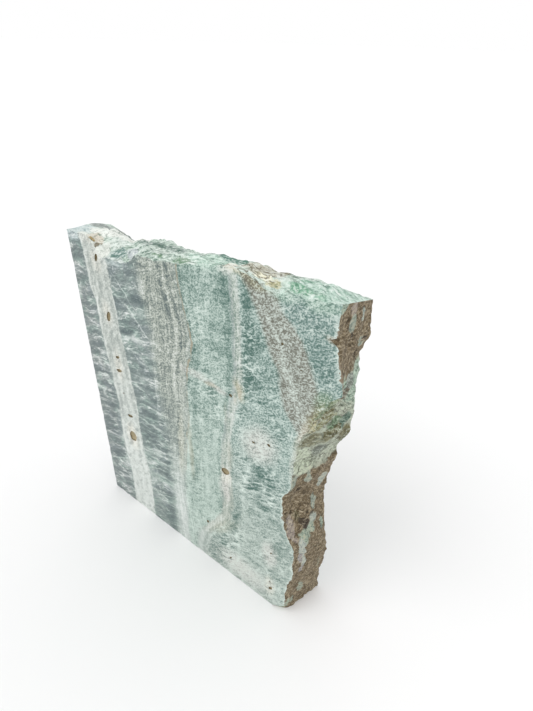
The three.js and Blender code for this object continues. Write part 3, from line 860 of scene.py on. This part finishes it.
# Ochre stains on the front, as x, z, half width, half height, tilt and strength.
STAINS = (
    (110, 132, 1.2, 4.4, 12, 0.7), (107.6, 127, 1.0, 3, 0, 0.5), (93, 128, 4, 1, 8, 0.7),
    (77, 78, 1.6, 16, 0, 0.6), (104, 92, 2, 8, 0, 0.3), (102, 116, 1, 6, 0, 0.3),
    (20, 176, 4, 2.4, 0, 0.5), (148, 132, 5, 8, 0, 0.5), (141, 118, 2, 6, 0, 0.4),
)
SAWN_WARPS = ((1, 9, 2.6), (2, 2.2, 1.3))  # seed, cell and reach of each
SAWN_NOISE = {
    "fray": (17, 16, 9, 3, 3, 0.6, 0.5), "wander": (2, 11, 12, 5, 1),
    "drift": (31, 20, 11, 7, 2, 0.6, 0.6), "sway": (15, 20, 8, 5, 2),
    "curds": (16, 65, 6, 2.6, 3, 0.6, 0.8), "border gaps": (18, 85, 16, 4, 1),
    "lashes": (8, 13, 16, 3.6, 2, 0.55, 0.6), "lash gaps": (19, 10, 8, 5, 1),
    "hairs": (29, 30, 10, 2.8, 2, 0.55, 0.8), "hair gaps": (10, 60, 8, 5, 1),
    "pockets": (3, 12, 24, 4.8), "pocket gaps": (13, 12, 9, 4, 1),
    "fans": (4, 26, 9, 2.1), "fan gaps": (14, 40, 7, 5, 1),
    "fibres": (6, 32, 5, 0.8, 3, 0.65, 0.6), "striae": (7, 88, 16, 0.8, 3, 0.65, 0.3),
    "plumes": (20, 24, 8, 1.7, 4, 0.62, 0.8), "mottle": (11, 25, 4.6, 2.8, 4, 0.65, 0.8),
    "grain": (9, 25, 0.95, 0.7, 1, 0.7), "brown gaps": (12, 90, 12, 3),
}
THREAD_WIDTH = 0.035  # of lashes and hairs, as a share of their noise


def sawn_bands(stone, x, z):
    """The tracks across the sawn faces at height z, and the share of each upright band."""
    track = SimpleNamespace()
    track.left, track.right = stone.track(VEIN_LEFT, z), stone.track(VEIN_RIGHT, z)
    track.blue_end, track.line = stone.track(BLUE_END, z), stone.track(BROWN_LINE, z)
    track.cream = stone.track(CREAM_VEIN, z)
    track.tan_left, track.tan_right = stone.track(TAN_LEFT, z), stone.track(TAN_RIGHT, z)

    band = SimpleNamespace()
    frayed = (stone.streaks("fray") - 0.5) * 8
    ragged = x + frayed
    band.vein = between(x + frayed * 0.22, track.left, track.right, 0.7)
    band.lilac = between(ragged, track.blue_end, track.line, 4.5)
    band.green = between(x, track.line, track.cream - 3, 1.4)
    half = z.ramp(85, 105, 3.2, 1.7)
    band.cream = between(x + frayed * 0.3, track.cream - half, track.cream + half, 1.0) * z.ramp(14, 30)
    band.teal = (x - track.cream - half).ramp(-1.0, 1.0)
    band.tan = between(x, track.tan_left, track.tan_right, 1.6)
    band.fresh = (x - track.tan_right).ramp(-1.5, 1.5).above(band.teal * z.ramp(112, 84))
    band.foot = (x - 78).ramp(-4, 4) * z.ramp(26, 12) * (132 - x).ramp(-8, 8)
    band.blue = (track.blue_end - ragged).ramp(-5.5, 5.5) - band.vein
    band.first = (track.left - x).ramp(-4, 8)
    return track, band


def sawn_ground(stone, paint, band):
    """The ground colour: the paint of each band over the one before, then the tints."""
    colour = stone.mix(band.lilac, paint["blue"], paint["lilac"])
    for name in ("green", "teal", "cream"):
        colour = stone.mix(getattr(band, name), colour, paint[name])
    colour = stone.mix(band.fresh * 0.85, colour, paint["fresh"])
    for name in ("tan", "vein"):
        colour = stone.mix(getattr(band, name), colour, paint[name])
    colour = stone.mix(band.foot * 0.7, colour, paint["foot"])
    colour = stone.mix(band.first * band.blue * 0.9, colour, paint["first"])
    return tinted(stone, colour, FACE_TINTS, 0.6)


def drawn_bands(stone, x, z, track, band):
    """The tone of the drawn bands: wisps that rise across the blue stone and bend beside the
    vein, and stripes along the brown line, the cream vein and the pale vein."""
    sway = (stone.streaks("sway") - 0.5) * 5
    left_bend = (track.left - x).ramp(6, 0) * 1.6
    right_bend = (x - track.right).ramp(8, 0) * 2.4
    risen = z - (x - WISPS_LEFT_AT) * WISP_RISE - left_bend + sway
    left_wisps = stone.bands(WISPS_LEFT, risen, 160)
    risen = z - (x - WISPS_RIGHT_AT) * WISP_RISE + right_bend + sway
    right_wisps = stone.bands(WISPS_RIGHT, risen, 164)
    wisps = right_wisps + (left_wisps - right_wisps) * band.first
    off_line, off_cream = x - track.line, x - track.cream
    by_line = stone.heights(ACROSS_LINE, off_line, z, 178) * between(off_line, -17.0, 9.0, 3.0)
    by_cream = stone.heights(ACROSS_CREAM, off_cream, z, 180) * between(off_cream, -11.0, 8.0, 3.0)
    low_vein, high_vein = (stone.bands(table, x - track.left, 202) for table in ACROSS_VEIN)
    in_vein = (low_vein + (high_vein - low_vein) * z.ramp(40, 80)) * band.vein
    return wisps, off_line, by_line, by_cream, in_vein


def threads(stone):
    """White threads: lashes and hairs where a noise passes its middle, and webs and feathers on
    the borders of long cells, with darker middles. Each is broken up by gaps."""
    lashes = ridges(stone.streaks("lashes"), THREAD_WIDTH) * stone.streaks("lash gaps").ramp(0.34, 0.6)
    hairs = ridges(stone.streaks("hairs"), THREAD_WIDTH) * stone.streaks("hair gaps").ramp(0.38, 0.62)
    pockets = stone.cells("pockets")
    webs = pockets.ramp(0.085, 0.0) * stone.streaks("pocket gaps").ramp(0.3, 0.7) * 1.7
    webs = webs - pockets.ramp(0.04, 0.36)
    fans = stone.cells("fans")
    feathers = fans.ramp(0.12, 0.0) * stone.streaks("fan gaps").ramp(0.35, 0.7) * 1.5
    feathers = feathers - fans.ramp(0.06, 0.5)
    return lashes, hairs, webs, feathers


def sawn_material(settings):
    """The sawn stone: upright bands between drawn tracks, bright and dark bands drawn along and
    across them, patches and threads, striae, mottle and a fine grain."""
    stone = Stone("sawn_onyx", "front", SAWN_WARPS, SAWN_NOISE)
    x, y, z = stone.split(stone.warped)
    high = z.ramp(40, 130)
    paint = {name: stone.mix(high, low, top) for name, (low, top) in SAWN.items()}
    track, band = sawn_bands(stone, x, z)
    colour = sawn_ground(stone, paint, band)
    deep = stone.mix((x - track.line).ramp(-4, 3), DEEP_BLUE, DEEP_GREEN)
    deep = stone.mix(band.tan, deep, DEEP_TAN)

    wander = stone.streaks("wander")
    drift = stone.streaks("drift") - 0.5
    colour = stone.mix(drift.ramp(-0.02, 0.16) * band.blue * 0.7, colour, SEA_GREEN)
    colour = stone.mix(drift.ramp(-0.02, -0.16) * band.blue * 0.5, colour, SLATE)
    wisps, off_line, by_line, by_cream, in_vein = drawn_bands(stone, x, z, track, band)
    curds = stone.streaks("curds") - 0.5
    broken = stone.streaks("border gaps").ramp(0.4, 0.6)
    left_border, right_border = abs(x - track.left - 0.4).ramp(0.7, 0.1), abs(track.right - x - 0.4)
    borders = (left_border + right_border.ramp(0.6, 0.1)) * broken
    lashes, hairs, webs, feathers = threads(stone)
    fibres, striae, plumes, mottle = (
        stone.streaks(name) - 0.5 for name in ("fibres", "striae", "plumes", "mottle")
    )
    grain = stone.streaks("grain").ramp(0.34, 0.66) - 0.5

    rough_zone = band.teal + band.tan * 0.5 + band.lilac * 0.7 + band.green * 0.7 + band.cream * 0.5
    tone = total(stone, PATCHES, 0.5) * 0.62 + total(stone, THREADS, 0.7) * 0.8
    lines = wisps * (0.45 + wander) + webs * 0.5 + lashes * 1.4 + plumes * 2.3 + fibres * 1.6 - 0.28
    in_lines = band.blue * (1 + band.first * 0.35) + band.lilac * z.ramp(40, 60) * 0.4
    tone = tone + lines * in_lines + borders * 0.5
    tone = tone + by_line * 1.4 + by_cream * 1.3 + (in_vein + curds * 1.8) * band.vein - 0.06
    fan = total(stone, FANS, 0.5)
    tone = tone + striae * (band.lilac * 3.2 + band.green * 1.4 + band.cream * 2.8 + band.vein * 0.5)
    feathery = (feathers * 0.55 + hairs * 0.75 + 0.1) * (band.teal + band.green * 0.6)
    tone = tone + feathery * (1 - band.tan * 0.8)
    tone = tone + (feathers * 1.2 - 0.08) * fan
    tone = tone + mottle * (2.1 - high * 0.9 + band.green * 1.3 + band.fresh * 0.5)
    gritty = (rough_zone.below(1.2) * 0.85 + 0.3) * (0.75 + high * 0.6)
    tone = tone + (grain * 1.15 + fibres * 1.6) * gritty - 0.05
    tone = tone * settings.contrast
    pale = stone.mix(band.teal + band.green, PALE, PALE_GREEN)
    colour = shaded(stone, colour, tone, deep, pale, 0.62 + band.vein * 0.45)
    brown = abs(off_line).ramp(0.75, 0.25) * z.ramp(40, 100) * stone.streaks("brown gaps").ramp(0.3, 0.6)
    colour = stone.mix(brown * 0.75, colour, LINE_BROWN)
    stains = total(stone, STAINS, 0.6).below(1.0)
    colour = stone.mix(stains * 0.45, colour, OCHRE)

    rim = stone.track(END_FRONT, z) - x + mottle * 6
    rind_beside = (z.ramp(157, 159) * z.ramp(184, 181)).above(z.ramp(102, 98) * 0.9) * y.ramp(8, 4)
    colour = stone.mix(rim.ramp(1.5, 0.3) * rind_beside * 0.6, colour, PALE_GREEN)
    colour = stone.mix(rim.ramp(0.1, -0.3) * rind_beside, colour, SKIN)

    hollow = stone.attribute("hollow")
    pit = stone.mix(hollow.ramp(0.35, 1.2), PIT_RIM, PIT_FLOOR)
    colour = stone.mix(hollow.ramp(0.02, 0.3), colour, pit)
    rough = 0.42 + mottle * 0.2 + band.tan * 0.12 + hollow.ramp(0.02, 0.3) * 0.4
    return stone.finish(colour, rough, grain + fibres, 0.05)


TOP_BASE, TOP_HOLE = (186, 203, 191), (134, 122, 96)
# The last of the next three colours is a painted highlight, laid on the top's glints.
TOP_DEEP, TOP_PALE, TOP_PAINTED_HIGHLIGHT = (48, 92, 76), (236, 244, 238), (238, 240, 232)
# The second colour on the next line is painted shade, for dark lines on the ledges.
LEDGE_DEEP, LEDGE_PAINTED_SHADE = (86, 80, 56), (92, 84, 62)
# Tints over the broken top: colour, then x, y, half lengths, tilt and strength of each patch.
TOP_TINTS = (
    ((188, 204, 204), ((4, 4, 8, 8, 0, 1.0),)),
    ((112, 122, 118), ((6, 17, 10, 4.5, 6, 1.0), (14, 23, 8, 3, -10, 1.0))),
    ((236, 238, 231), ((21, 15, 9, 6, 0, 1.0), (32, 19, 8, 5, 0, 0.9), (12, 9, 6, 3, 0, 0.9))),
    ((222, 226, 218), ((18, 1, 10, 3.4, 0, 1.0), (25, 4, 4, 4, 0, 0.8))),
    ((218, 211, 196), ((16.4, 4.4, 4, 3.2, 0, 0.9), (19, 20, 5, 3, 0, 0.5))),
    ((216, 226, 218), ((29, 8, 6, 4, -10, 0.9),)),
    ((108, 138, 132), ((35, 3.2, 5.4, 2.8, 6, 1.0),)),
    ((188, 198, 194), ((36, 0, 9, 1.2, 0, 0.9),)),
    ((176, 184, 187), ((42.4, 5.5, 3, 4.6, 40, 0.8),)),
    ((110, 132, 122), ((46, 15, 7, 3.4, 10, 1.0), (57, 18, 6, 3, 0, 0.9), (38, 14, 4, 2, 30, 0.5))),
    ((206, 217, 208), ((60, 9, 9, 4.6, 20, 0.7), (71, 17, 6, 3, 0, 0.6))),
    ((108, 142, 112), ((78, 2.6, 6, 2, 0, 1.0), (69, 23, 4, 2.6, 0, 0.5), (62, 3, 4, 1.4, 0, 0.7))),
    ((178, 206, 190), ((86, 9, 9, 6, 0, 0.9), (96, 5, 9, 6, 0, 1.0))),
    ((86, 128, 114), (
        (92, 16, 9, 3.0, -12, 1.0), (101, 13, 6, 2.2, -8, 1.0), (80, 20, 5, 2.4, 0, 0.8),
    )),
    ((214, 212, 198), ((105, 3, 5, 4, 0, 1.0),)),
    ((184, 182, 164), ((111, 15, 8, 9, 0, 1.0), (108, 22, 6, 4, 0, 0.9), (117, 16, 4, 7, 0, 0.9))),
    ((240, 236, 210), ((116.5, 5.4, 5, 3.4, 0, 1.0), (112, 10, 5, 1.6, -10, 0.7))),
    ((190, 186, 146), ((121.8, 4.8, 3.4, 3.4, 0, 1.0),)),
    ((170, 200, 184), ((142, 10, 16, 15, 0, 1.0),)),
    ((116, 168, 138), (
        (133, 6.4, 6, 3, -20, 1.0), (143, 3, 4, 2, -30, 0.6), (131, 14, 4, 1.6, 0, 0.7),
    )),
    ((92, 122, 106), ((126, 21, 9, 2, -4, 1.0), (146, 22, 8, 1.6, 0, 0.6))),
    ((168, 142, 84), ((15.4, 2.6, 1.4, 1.2, 0, 0.9), (20, 3, 3, 1.0, 0, 0.4))),
)
TOP_WARPS = ((5, 6, 3.0), (6, 1.2, 1.1))
TOP_NOISE = {
    "streak 0": (21, FIBRE_TILTS[0][1], 6, 1.1, 3, 0.62, 0.5),
    "streak 1": (26, FIBRE_TILTS[1][1], 8, 1.1, 3, 0.62, 0.4),
    "streak 2": (27, FIBRE_TILTS[2][1], 8, 1.1, 3, 0.62, 0.4),
    "patch": (22, 10, 4.5, 2.4, 4, 0.62, 0.8), "painted_streak_shade": (28, 4, 9, 1.5, 3, 0.6, 0.6),
    "grain": (23, 0, 1.1, 0.9, 2, 0.7), "ledge lines": (24, -3, 10, 2.0, 1, 0.5),
    "painted_glints": (25, 14, 1.9, 0.9, 2),
}


def top_material(settings):
    """The broken top: tints in ragged patches, thin fibres that turn along the slab, painted shade in dark
    streaks and in dark lines on the ledges, and painted highlights at crystal glints."""
    stone = Stone("broken_onyx", "top", TOP_WARPS, TOP_NOISE)
    x, y, _ = stone.split(stone.warped)
    streak = stone.streaks("streak 0")
    for k, (start, _) in enumerate(FIBRE_TILTS[1:], 1):
        turned = stone.streaks(f"streak {k}")
        streak = streak + (turned - streak) * x.ramp(start - FIBRE_BLEND, start + FIBRE_BLEND)
    streak = streak - 0.5
    patch = stone.streaks("patch") - 0.5
    colour = tinted(stone, TOP_BASE, TOP_TINTS, 0.6, streak + patch)
    # Painted shade: dark streaks along the slab between x 50 and 104.
    painted_streak_shade = stone.streaks("painted_streak_shade").ramp(0.5, 0.64) * between(x, 50.0, 104.0, 6.0)
    grain = stone.streaks("grain") - 0.5
    ledge = between(x, 103.0, 121.0, 2.0)
    # Painted shade: thin dark lines along the ledges.
    painted_ledge_shade = ridges(stone.streaks("ledge lines"), 0.045) * ledge
    # Painted highlights: pale glints, which also make the top a little less rough.
    painted_glints = stone.streaks("painted_glints").ramp(0.6, 0.7)
    calm = x.ramp(2, 14, 0.75, 1.0) * (1 - 0.5 * between(x, 8.0, 30.0, 4.0) * y.ramp(6, 2))
    tone = (streak * 5.2 + patch * 3.4 + grain * 3.2 - painted_streak_shade * 1.0 + 0.12) * calm * settings.contrast
    deep = stone.mix(ledge, TOP_DEEP, LEDGE_DEEP)
    colour = shaded(stone, colour, tone, deep, TOP_PALE, 0.9)
    # Painted shade on the ledges, then painted highlights at the glints.
    colour = stone.mix(painted_ledge_shade * 0.9, colour, LEDGE_PAINTED_SHADE)
    colour = stone.mix(painted_glints * calm * 0.35, colour, TOP_PAINTED_HIGHLIGHT)
    hollow = stone.attribute("hollow")
    colour = stone.mix(hollow.ramp(0.05, 0.5) * 0.8, colour, TOP_HOLE)
    rough = 0.46 + patch * 0.3 - painted_glints * 0.2
    return stone.finish(colour, rough, streak + grain * 0.7, 0.6)


RIND_BASE, RIND_HOLE = (118, 102, 74), (84, 74, 58)
RIND_DEEP, RIND_PALE = (30, 22, 10), (206, 194, 168)
# The last colour on the next line is a painted highlight, for glints in the open stone.
OPEN_DEEP, OPEN_PALE, OPEN_CRACK, OPEN_PAINTED_HIGHLIGHT = (48, 56, 26), (218, 228, 208), (52, 50, 28), (232, 238, 226)
# Tints over the natural end: colour, then y, z, half lengths, tilt and strength of each patch.
END_TINTS = (
    ((166, 190, 172), (
        (24, 139, 7, 15.5, 8, 1.1), (1.4, 186.4, 4, 3, 20, 1.0), (22, 131, 6, 8, 0, 1.0),
        (4, 146, 8, 10, 0, 1.1),
    )),
    ((132, 150, 112), ((8, 141, 9, 7, 0, 1.1),)),
    ((148, 157, 148), ((12, 147, 6, 6, 10, 1.0), (17, 147, 3, 6, 0, 0.8))),
    ((112, 98, 80), ((16.2, 141, 2.4, 4, 10, 1.0),)),
    ((178, 185, 166), (
        (13, 120, 16, 17, 0, 1.1), (6, 108, 9, 7, 0, 1.0), (19, 107, 8, 6, 20, 0.9),
    )),
    ((110, 104, 62), (
        (14, 122.6, 5, 4, 30, 1.0), (22, 117, 3.4, 5, 20, 1.0), (8, 135, 4.4, 1.6, 10, 1.0),
        (24, 112, 2, 3, 0, 0.7),
    )),
    ((140, 138, 96), ((9, 131, 5, 3, 20, 0.9),)),
    ((104, 134, 100), ((14.5, 128, 4, 3, 20, 0.9), (3, 147, 4, 4, 0, 1.0))),
    ((84, 118, 102), ((20, 126, 2.6, 4.4, -10, 1.0),)),
    ((206, 200, 160), ((3, 130, 1.6, 4, 0, 0.8), (1, 134, 2, 3, 0, 0.6))),
    ((134, 132, 102), ((4.8, 121.5, 4.4, 4, 30, 0.9), (10, 118, 3, 2, 30, 0.5))),
    ((120, 127, 117), ((11.8, 112, 4, 4, 30, 0.9),)),
    ((202, 212, 188), (
        (3.6, 108, 5, 6.4, 10, 1.0), (3, 115, 3, 3, 0, 0.7), (8, 103, 5, 3, 0, 0.6),
    )),
    ((158, 170, 156), (
        (8.5, 96.8, 1.5, 4, 0, 1.0), (17.7, 73, 1.6, 4.4, 0, 0.9), (9.6, 176.8, 1.9, 3.8, -8, 0.9),
        (18.2, 165.3, 2.6, 2.6, 0, 0.8), (1, 96, 2, 6, 0, 0.8),
    )),
    ((180, 190, 180), (
        (16.9, 177, 1.3, 2.2, 0, 1.0), (21, 85, 2.4, 5, 0, 0.9), (16.4, 63, 2.8, 4.4, 10, 0.8),
    )),
    ((166, 184, 166), (
        (13, 58.4, 4.4, 3.8, -20, 1.0), (7.4, 56, 2.6, 4, 0, 0.9), (22.4, 56, 1.3, 4.4, 0, 0.7),
    )),
    ((190, 199, 190), ((5.6, 52, 2.2, 5.4, 8, 1.0), (6.4, 42.4, 1.8, 3.6, 0, 0.9))),
    ((168, 165, 162), ((4.2, 47, 1.6, 3, 0, 0.9), (4.8, 38.3, 1.5, 2.8, 0, 0.9))),
    ((156, 145, 136), ((3, 65, 2.2, 8, 0, 0.9), (9.4, 182.6, 2.8, 3, 0, 0.7))),
    ((92, 84, 50), ((7.9, 68.6, 1.8, 3.4, 0, 0.9),)),
    ((70, 58, 43), (
        (11, 63.4, 2.6, 3, 10, 0.9), (20.2, 166, 1, 1.2, 0, 1.0), (19.5, 159, 0.9, 1.8, 0, 0.9),
        (9.6, 172, 1.2, 1.4, 0, 0.7), (7.1, 87.4, 1.8, 1.6, 0, 1.0),
    )),
    ((154, 164, 148), (
        (9, 17.6, 1.6, 5.6, 8, 0.9), (4.8, 8.8, 1.4, 4, 10, 0.8), (20.7, 29, 1.2, 6, 0, 0.5),
    )),
    ((176, 190, 170), ((1.2, 5, 2, 8, 0, 0.9),)),
)
RIND_WARPS = ((7, 4.5, 3.4), (8, 1.1, 1.6))
RIND_NOISE = {
    "grit": (32, 0, 1.5, 1.0, 3, 0.75), "specks": (38, 25, 1.0, 0.6, 2, 0.7),
    "blotch": (33, 60, 5, 3.4, 3, 0.6, 0.6), "rising": (34, 40, 6, 1.0, 3, 0.6, 0.5),
    "falling": (35, -35, 6, 1.0, 3, 0.6, 0.5), "cracks": (36, -20, 9, 2.4, 2, 0.6, 0.5),
    "painted_glints": (37, 50, 2.4, 1.0, 2),
}


def rind_material(settings):
    """The natural end: a brown, gritty rind with pale spots, let open by green, olive and white
    fibrous stone in patches with ragged borders."""
    stone = Stone("brown_rind", "end", RIND_WARPS, RIND_NOISE)
    _, _, z = stone.split(stone.warped)
    grit = stone.streaks("grit").ramp(0.28, 0.72) - 0.5
    specks, blotch = stone.streaks("specks") - 0.5, stone.streaks("blotch") - 0.5
    rising, falling = stone.streaks("rising"), stone.streaks("falling")
    fibres = rising + (falling - rising) * z.ramp(112, 124) - 0.5
    fibrous = z.ramp(99, 105) * z.ramp(158, 150)
    cracks = ridges(stone.streaks("cracks"), 0.03) * fibrous
    # Painted highlights: pale glints in the open fibrous stone.
    painted_glints = stone.streaks("painted_glints").ramp(0.6, 0.7) * fibrous
    colour = tinted(stone, RIND_BASE, END_TINTS, 0.5, fibres * fibrous * 1.8 + blotch * 0.6)
    tone = blotch * 1.6 + (grit * 2.0 + specks * 2.6) * (1 - fibrous * 0.65) + fibres * 7.0 * fibrous
    tone = tone * settings.contrast
    deep = stone.mix(fibrous, RIND_DEEP, OPEN_DEEP)
    pale = stone.mix(fibrous, RIND_PALE, OPEN_PALE)
    colour = shaded(stone, colour, tone, deep, pale, 0.75)
    colour = stone.mix(cracks * 0.7, colour, OPEN_CRACK)
    colour = stone.mix(painted_glints * 0.5, colour, OPEN_PAINTED_HIGHLIGHT)
    hollow = stone.attribute("hollow")
    colour = stone.mix(hollow.ramp(0.05, 0.8) * 0.8, colour, RIND_HOLE)
    rough = 0.72 + grit * 0.1 - fibrous * 0.15
    return stone.finish(colour, rough, grit * 0.35 + blotch * 0.6, 0.8)


def floor_material(rgb):
    """A plain, matt, pale floor."""
    material = bpy.data.materials.new("pale_floor")
    material.use_nodes = True
    surface = material.node_tree.nodes["Principled BSDF"]
    surface.inputs["Base Color"].default_value = (*rgb, 1)
    surface.inputs["Roughness"].default_value = 0.9
    surface.inputs["Specular IOR Level"].default_value = 0.1
    return material


# The add-on's settings, operators and panel.

# The photograph's camera: place in metres, axes, and focal length in its own pixels.
PHOTO_HEIGHT = 711
CAMERA_FOCUS = 510.0
SENSOR = 36.0
CAMERA_PLACE = (0.14436, -0.13986, 0.26101)
CAMERA_AXES = (
    (0.77992, 0.62549, 0.02195),  # to the right
    (0.35550, -0.41388, -0.83805),  # down
    (-0.51511, 0.66141, -0.54516),  # ahead
)
KEY_PLACE = (-0.5, -1.0, 1.5)  # where the key light comes from
FLOOR_SIDES = 96
SHARP_ANGLE = 42  # edges of the mesh that turn by more than this many degrees stay sharp


class OnyxSlabSettings(bpy.types.PropertyGroup):
    """Sizes and strengths of the slab."""

    cell: FloatProperty(
        name="Cell", description="Size of one mesh cell on the broken surfaces",
        default=0.42 * MM, min=0.2 * MM, subtype="DISTANCE", unit="LENGTH",
    )
    wear: FloatProperty(
        name="Edge wear", description="Radius worn off the sawn edges",
        default=0.3 * MM, min=0.05 * MM, subtype="DISTANCE", unit="LENGTH",
    )
    pit_sides: IntProperty(
        name="Pit sides", description="Number of sides of each open pit", default=26, min=8,
    )
    contrast: FloatProperty(
        name="Contrast", description="Strength of the markings", default=1.0, min=0, subtype="FACTOR",
    )


class OnyxStageSettings(bpy.types.PropertyGroup):
    """Sizes, colours and strengths of the studio."""

    floor_radius: FloatProperty(
        name="Floor radius", description="Radius of the round floor", default=9.0,
        subtype="DISTANCE", unit="LENGTH",
    )
    floor_colour: FloatVectorProperty(
        name="Floor colour", description="Colour of the floor", default=(0.88, 0.88, 0.88),
        subtype="COLOR", min=0, max=1,
    )
    sky: FloatProperty(name="Sky", description="Strength of the even white light", default=1.0, min=0)
    key: FloatProperty(
        name="Key light", description="Strength of the soft light from the front left",
        default=0.7, min=0,
    )
    softness: FloatProperty(
        name="Softness", description="Width of the key light as seen from the slab",
        default=math.radians(32), subtype="ANGLE", unit="ROTATION",
    )


class OnyxMakeSlab(bpy.types.Operator):
    """Make the slab: its sawn faces with their pits, its broken top and its natural end"""

    bl_idname = "onyx.make_slab"
    bl_label = "Make slab"

    def execute(self, context):
        settings = context.scene.onyx_slab
        cell, wear = settings.cell / MM, settings.wear / MM
        cells = {
            "base": round(CORNER_FRONT[0] / (3 * cell)), "end": round(CORNER_FRONT[1] / cell),
            "top": round(CORNER_FRONT[0] / cell), "side": round(LEFT_HEIGHT / (3 * cell)),
            "rows": round(THICKNESS / cell),
        }
        points, triangles, quads, stone, flat, hollow = slab_mesh(cells, wear, settings.pit_sides)
        piece = make_object("banded_slab", (points + LOW) * MM, triangles, quads)
        mesh = piece.data
        mesh.polygons.foreach_set("material_index", stone.astype(np.int32))
        mesh.polygons.foreach_set("use_smooth", ~flat)
        values = mesh.attributes.new("hollow", "FLOAT", "POINT")
        values.data.foreach_set("value", hollow.astype(np.float32))
        mesh.set_sharp_from_angle(angle=math.radians(SHARP_ANGLE))
        for make in (sawn_material, rind_material, top_material):
            mesh.materials.append(make(settings))
        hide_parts(NODE)
        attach(piece, "root")
        return {"FINISHED"}


class OnyxMakeStage(bpy.types.Operator):
    """Make the stage: the pale floor, the soft light and the camera"""

    bl_idname = "onyx.make_stage"
    bl_label = "Make stage"

    def execute(self, context):
        settings = context.scene.onyx_stage
        angle = np.linspace(0, 2 * np.pi, FLOOR_SIDES, endpoint=False)
        ring = np.stack([np.cos(angle), np.sin(angle), 0 * angle], -1) * settings.floor_radius
        mesh = bpy.data.meshes.new("floor")
        mesh.from_pydata(ring.tolist(), [], [list(range(len(ring)))])
        mesh.materials.append(floor_material(settings.floor_colour))
        floor = bpy.data.objects.new("floor", mesh)
        context.scene.collection.objects.link(floor)

        world = bpy.data.worlds.new("white_room")
        world.use_nodes = True
        background = world.node_tree.nodes["Background"]
        background.inputs["Color"].default_value = (1, 1, 1, 1)
        background.inputs["Strength"].default_value = settings.sky
        context.scene.world = world

        lamp = bpy.data.lights.new("key_light", "SUN")
        lamp.energy, lamp.angle = settings.key, settings.softness
        light = bpy.data.objects.new("key_light", lamp)
        place = Vector(KEY_PLACE)
        turn = place.to_track_quat("Z", "Y").to_matrix().to_4x4()
        light.matrix_world = Matrix.Translation(place) @ turn
        context.scene.collection.objects.link(light)

        lens = bpy.data.cameras.new("camera")
        lens.sensor_width, lens.sensor_fit = SENSOR, "AUTO"
        lens.lens = SENSOR * CAMERA_FOCUS / PHOTO_HEIGHT
        lens.clip_start, lens.clip_end = 0.01, 50
        camera = bpy.data.objects.new("camera", lens)
        right, down, forward = (Vector(axis) for axis in CAMERA_AXES)
        turn = Matrix((right, -down, -forward)).transposed().to_4x4()
        camera.matrix_world = Matrix.Translation(Vector(CAMERA_PLACE)) @ turn
        context.scene.collection.objects.link(camera)
        context.scene.camera = camera
        context.scene.view_settings.view_transform = "Standard"
        return {"FINISHED"}


class OnyxPanel(bpy.types.Panel):
    """The pieces and their settings"""

    bl_idname = "VIEW3D_PT_onyx_slab"
    bl_label = "Onyx slab"
    bl_space_type = "VIEW_3D"
    bl_region_type = "UI"
    bl_category = "Onyx slab"

    def draw(self, context):
        for settings, operator in (
            (context.scene.onyx_slab, OnyxMakeSlab),
            (context.scene.onyx_stage, OnyxMakeStage),
        ):
            box = self.layout.box()
            for name in settings.__annotations__:
                box.prop(settings, name)
            box.operator(operator.bl_idname)


CLASSES = (OnyxSlabSettings, OnyxStageSettings, OnyxMakeSlab, OnyxMakeStage, OnyxPanel)


def register():
    """Adds the classes and the scene's settings."""
    for kind in CLASSES:
        bpy.utils.register_class(kind)
    bpy.types.Scene.onyx_slab = PointerProperty(type=OnyxSlabSettings)
    bpy.types.Scene.onyx_stage = PointerProperty(type=OnyxStageSettings)


def unregister():
    """Takes them out again, in the opposite order."""
    del bpy.types.Scene.onyx_stage
    del bpy.types.Scene.onyx_slab
    for kind in reversed(CLASSES):
        bpy.utils.unregister_class(kind)


def main():
    """Registers the add-on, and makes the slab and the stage."""
    register()
    bpy.ops.onyx.make_slab()
    bpy.ops.onyx.make_stage()


if __name__ == "__main__":
    main()
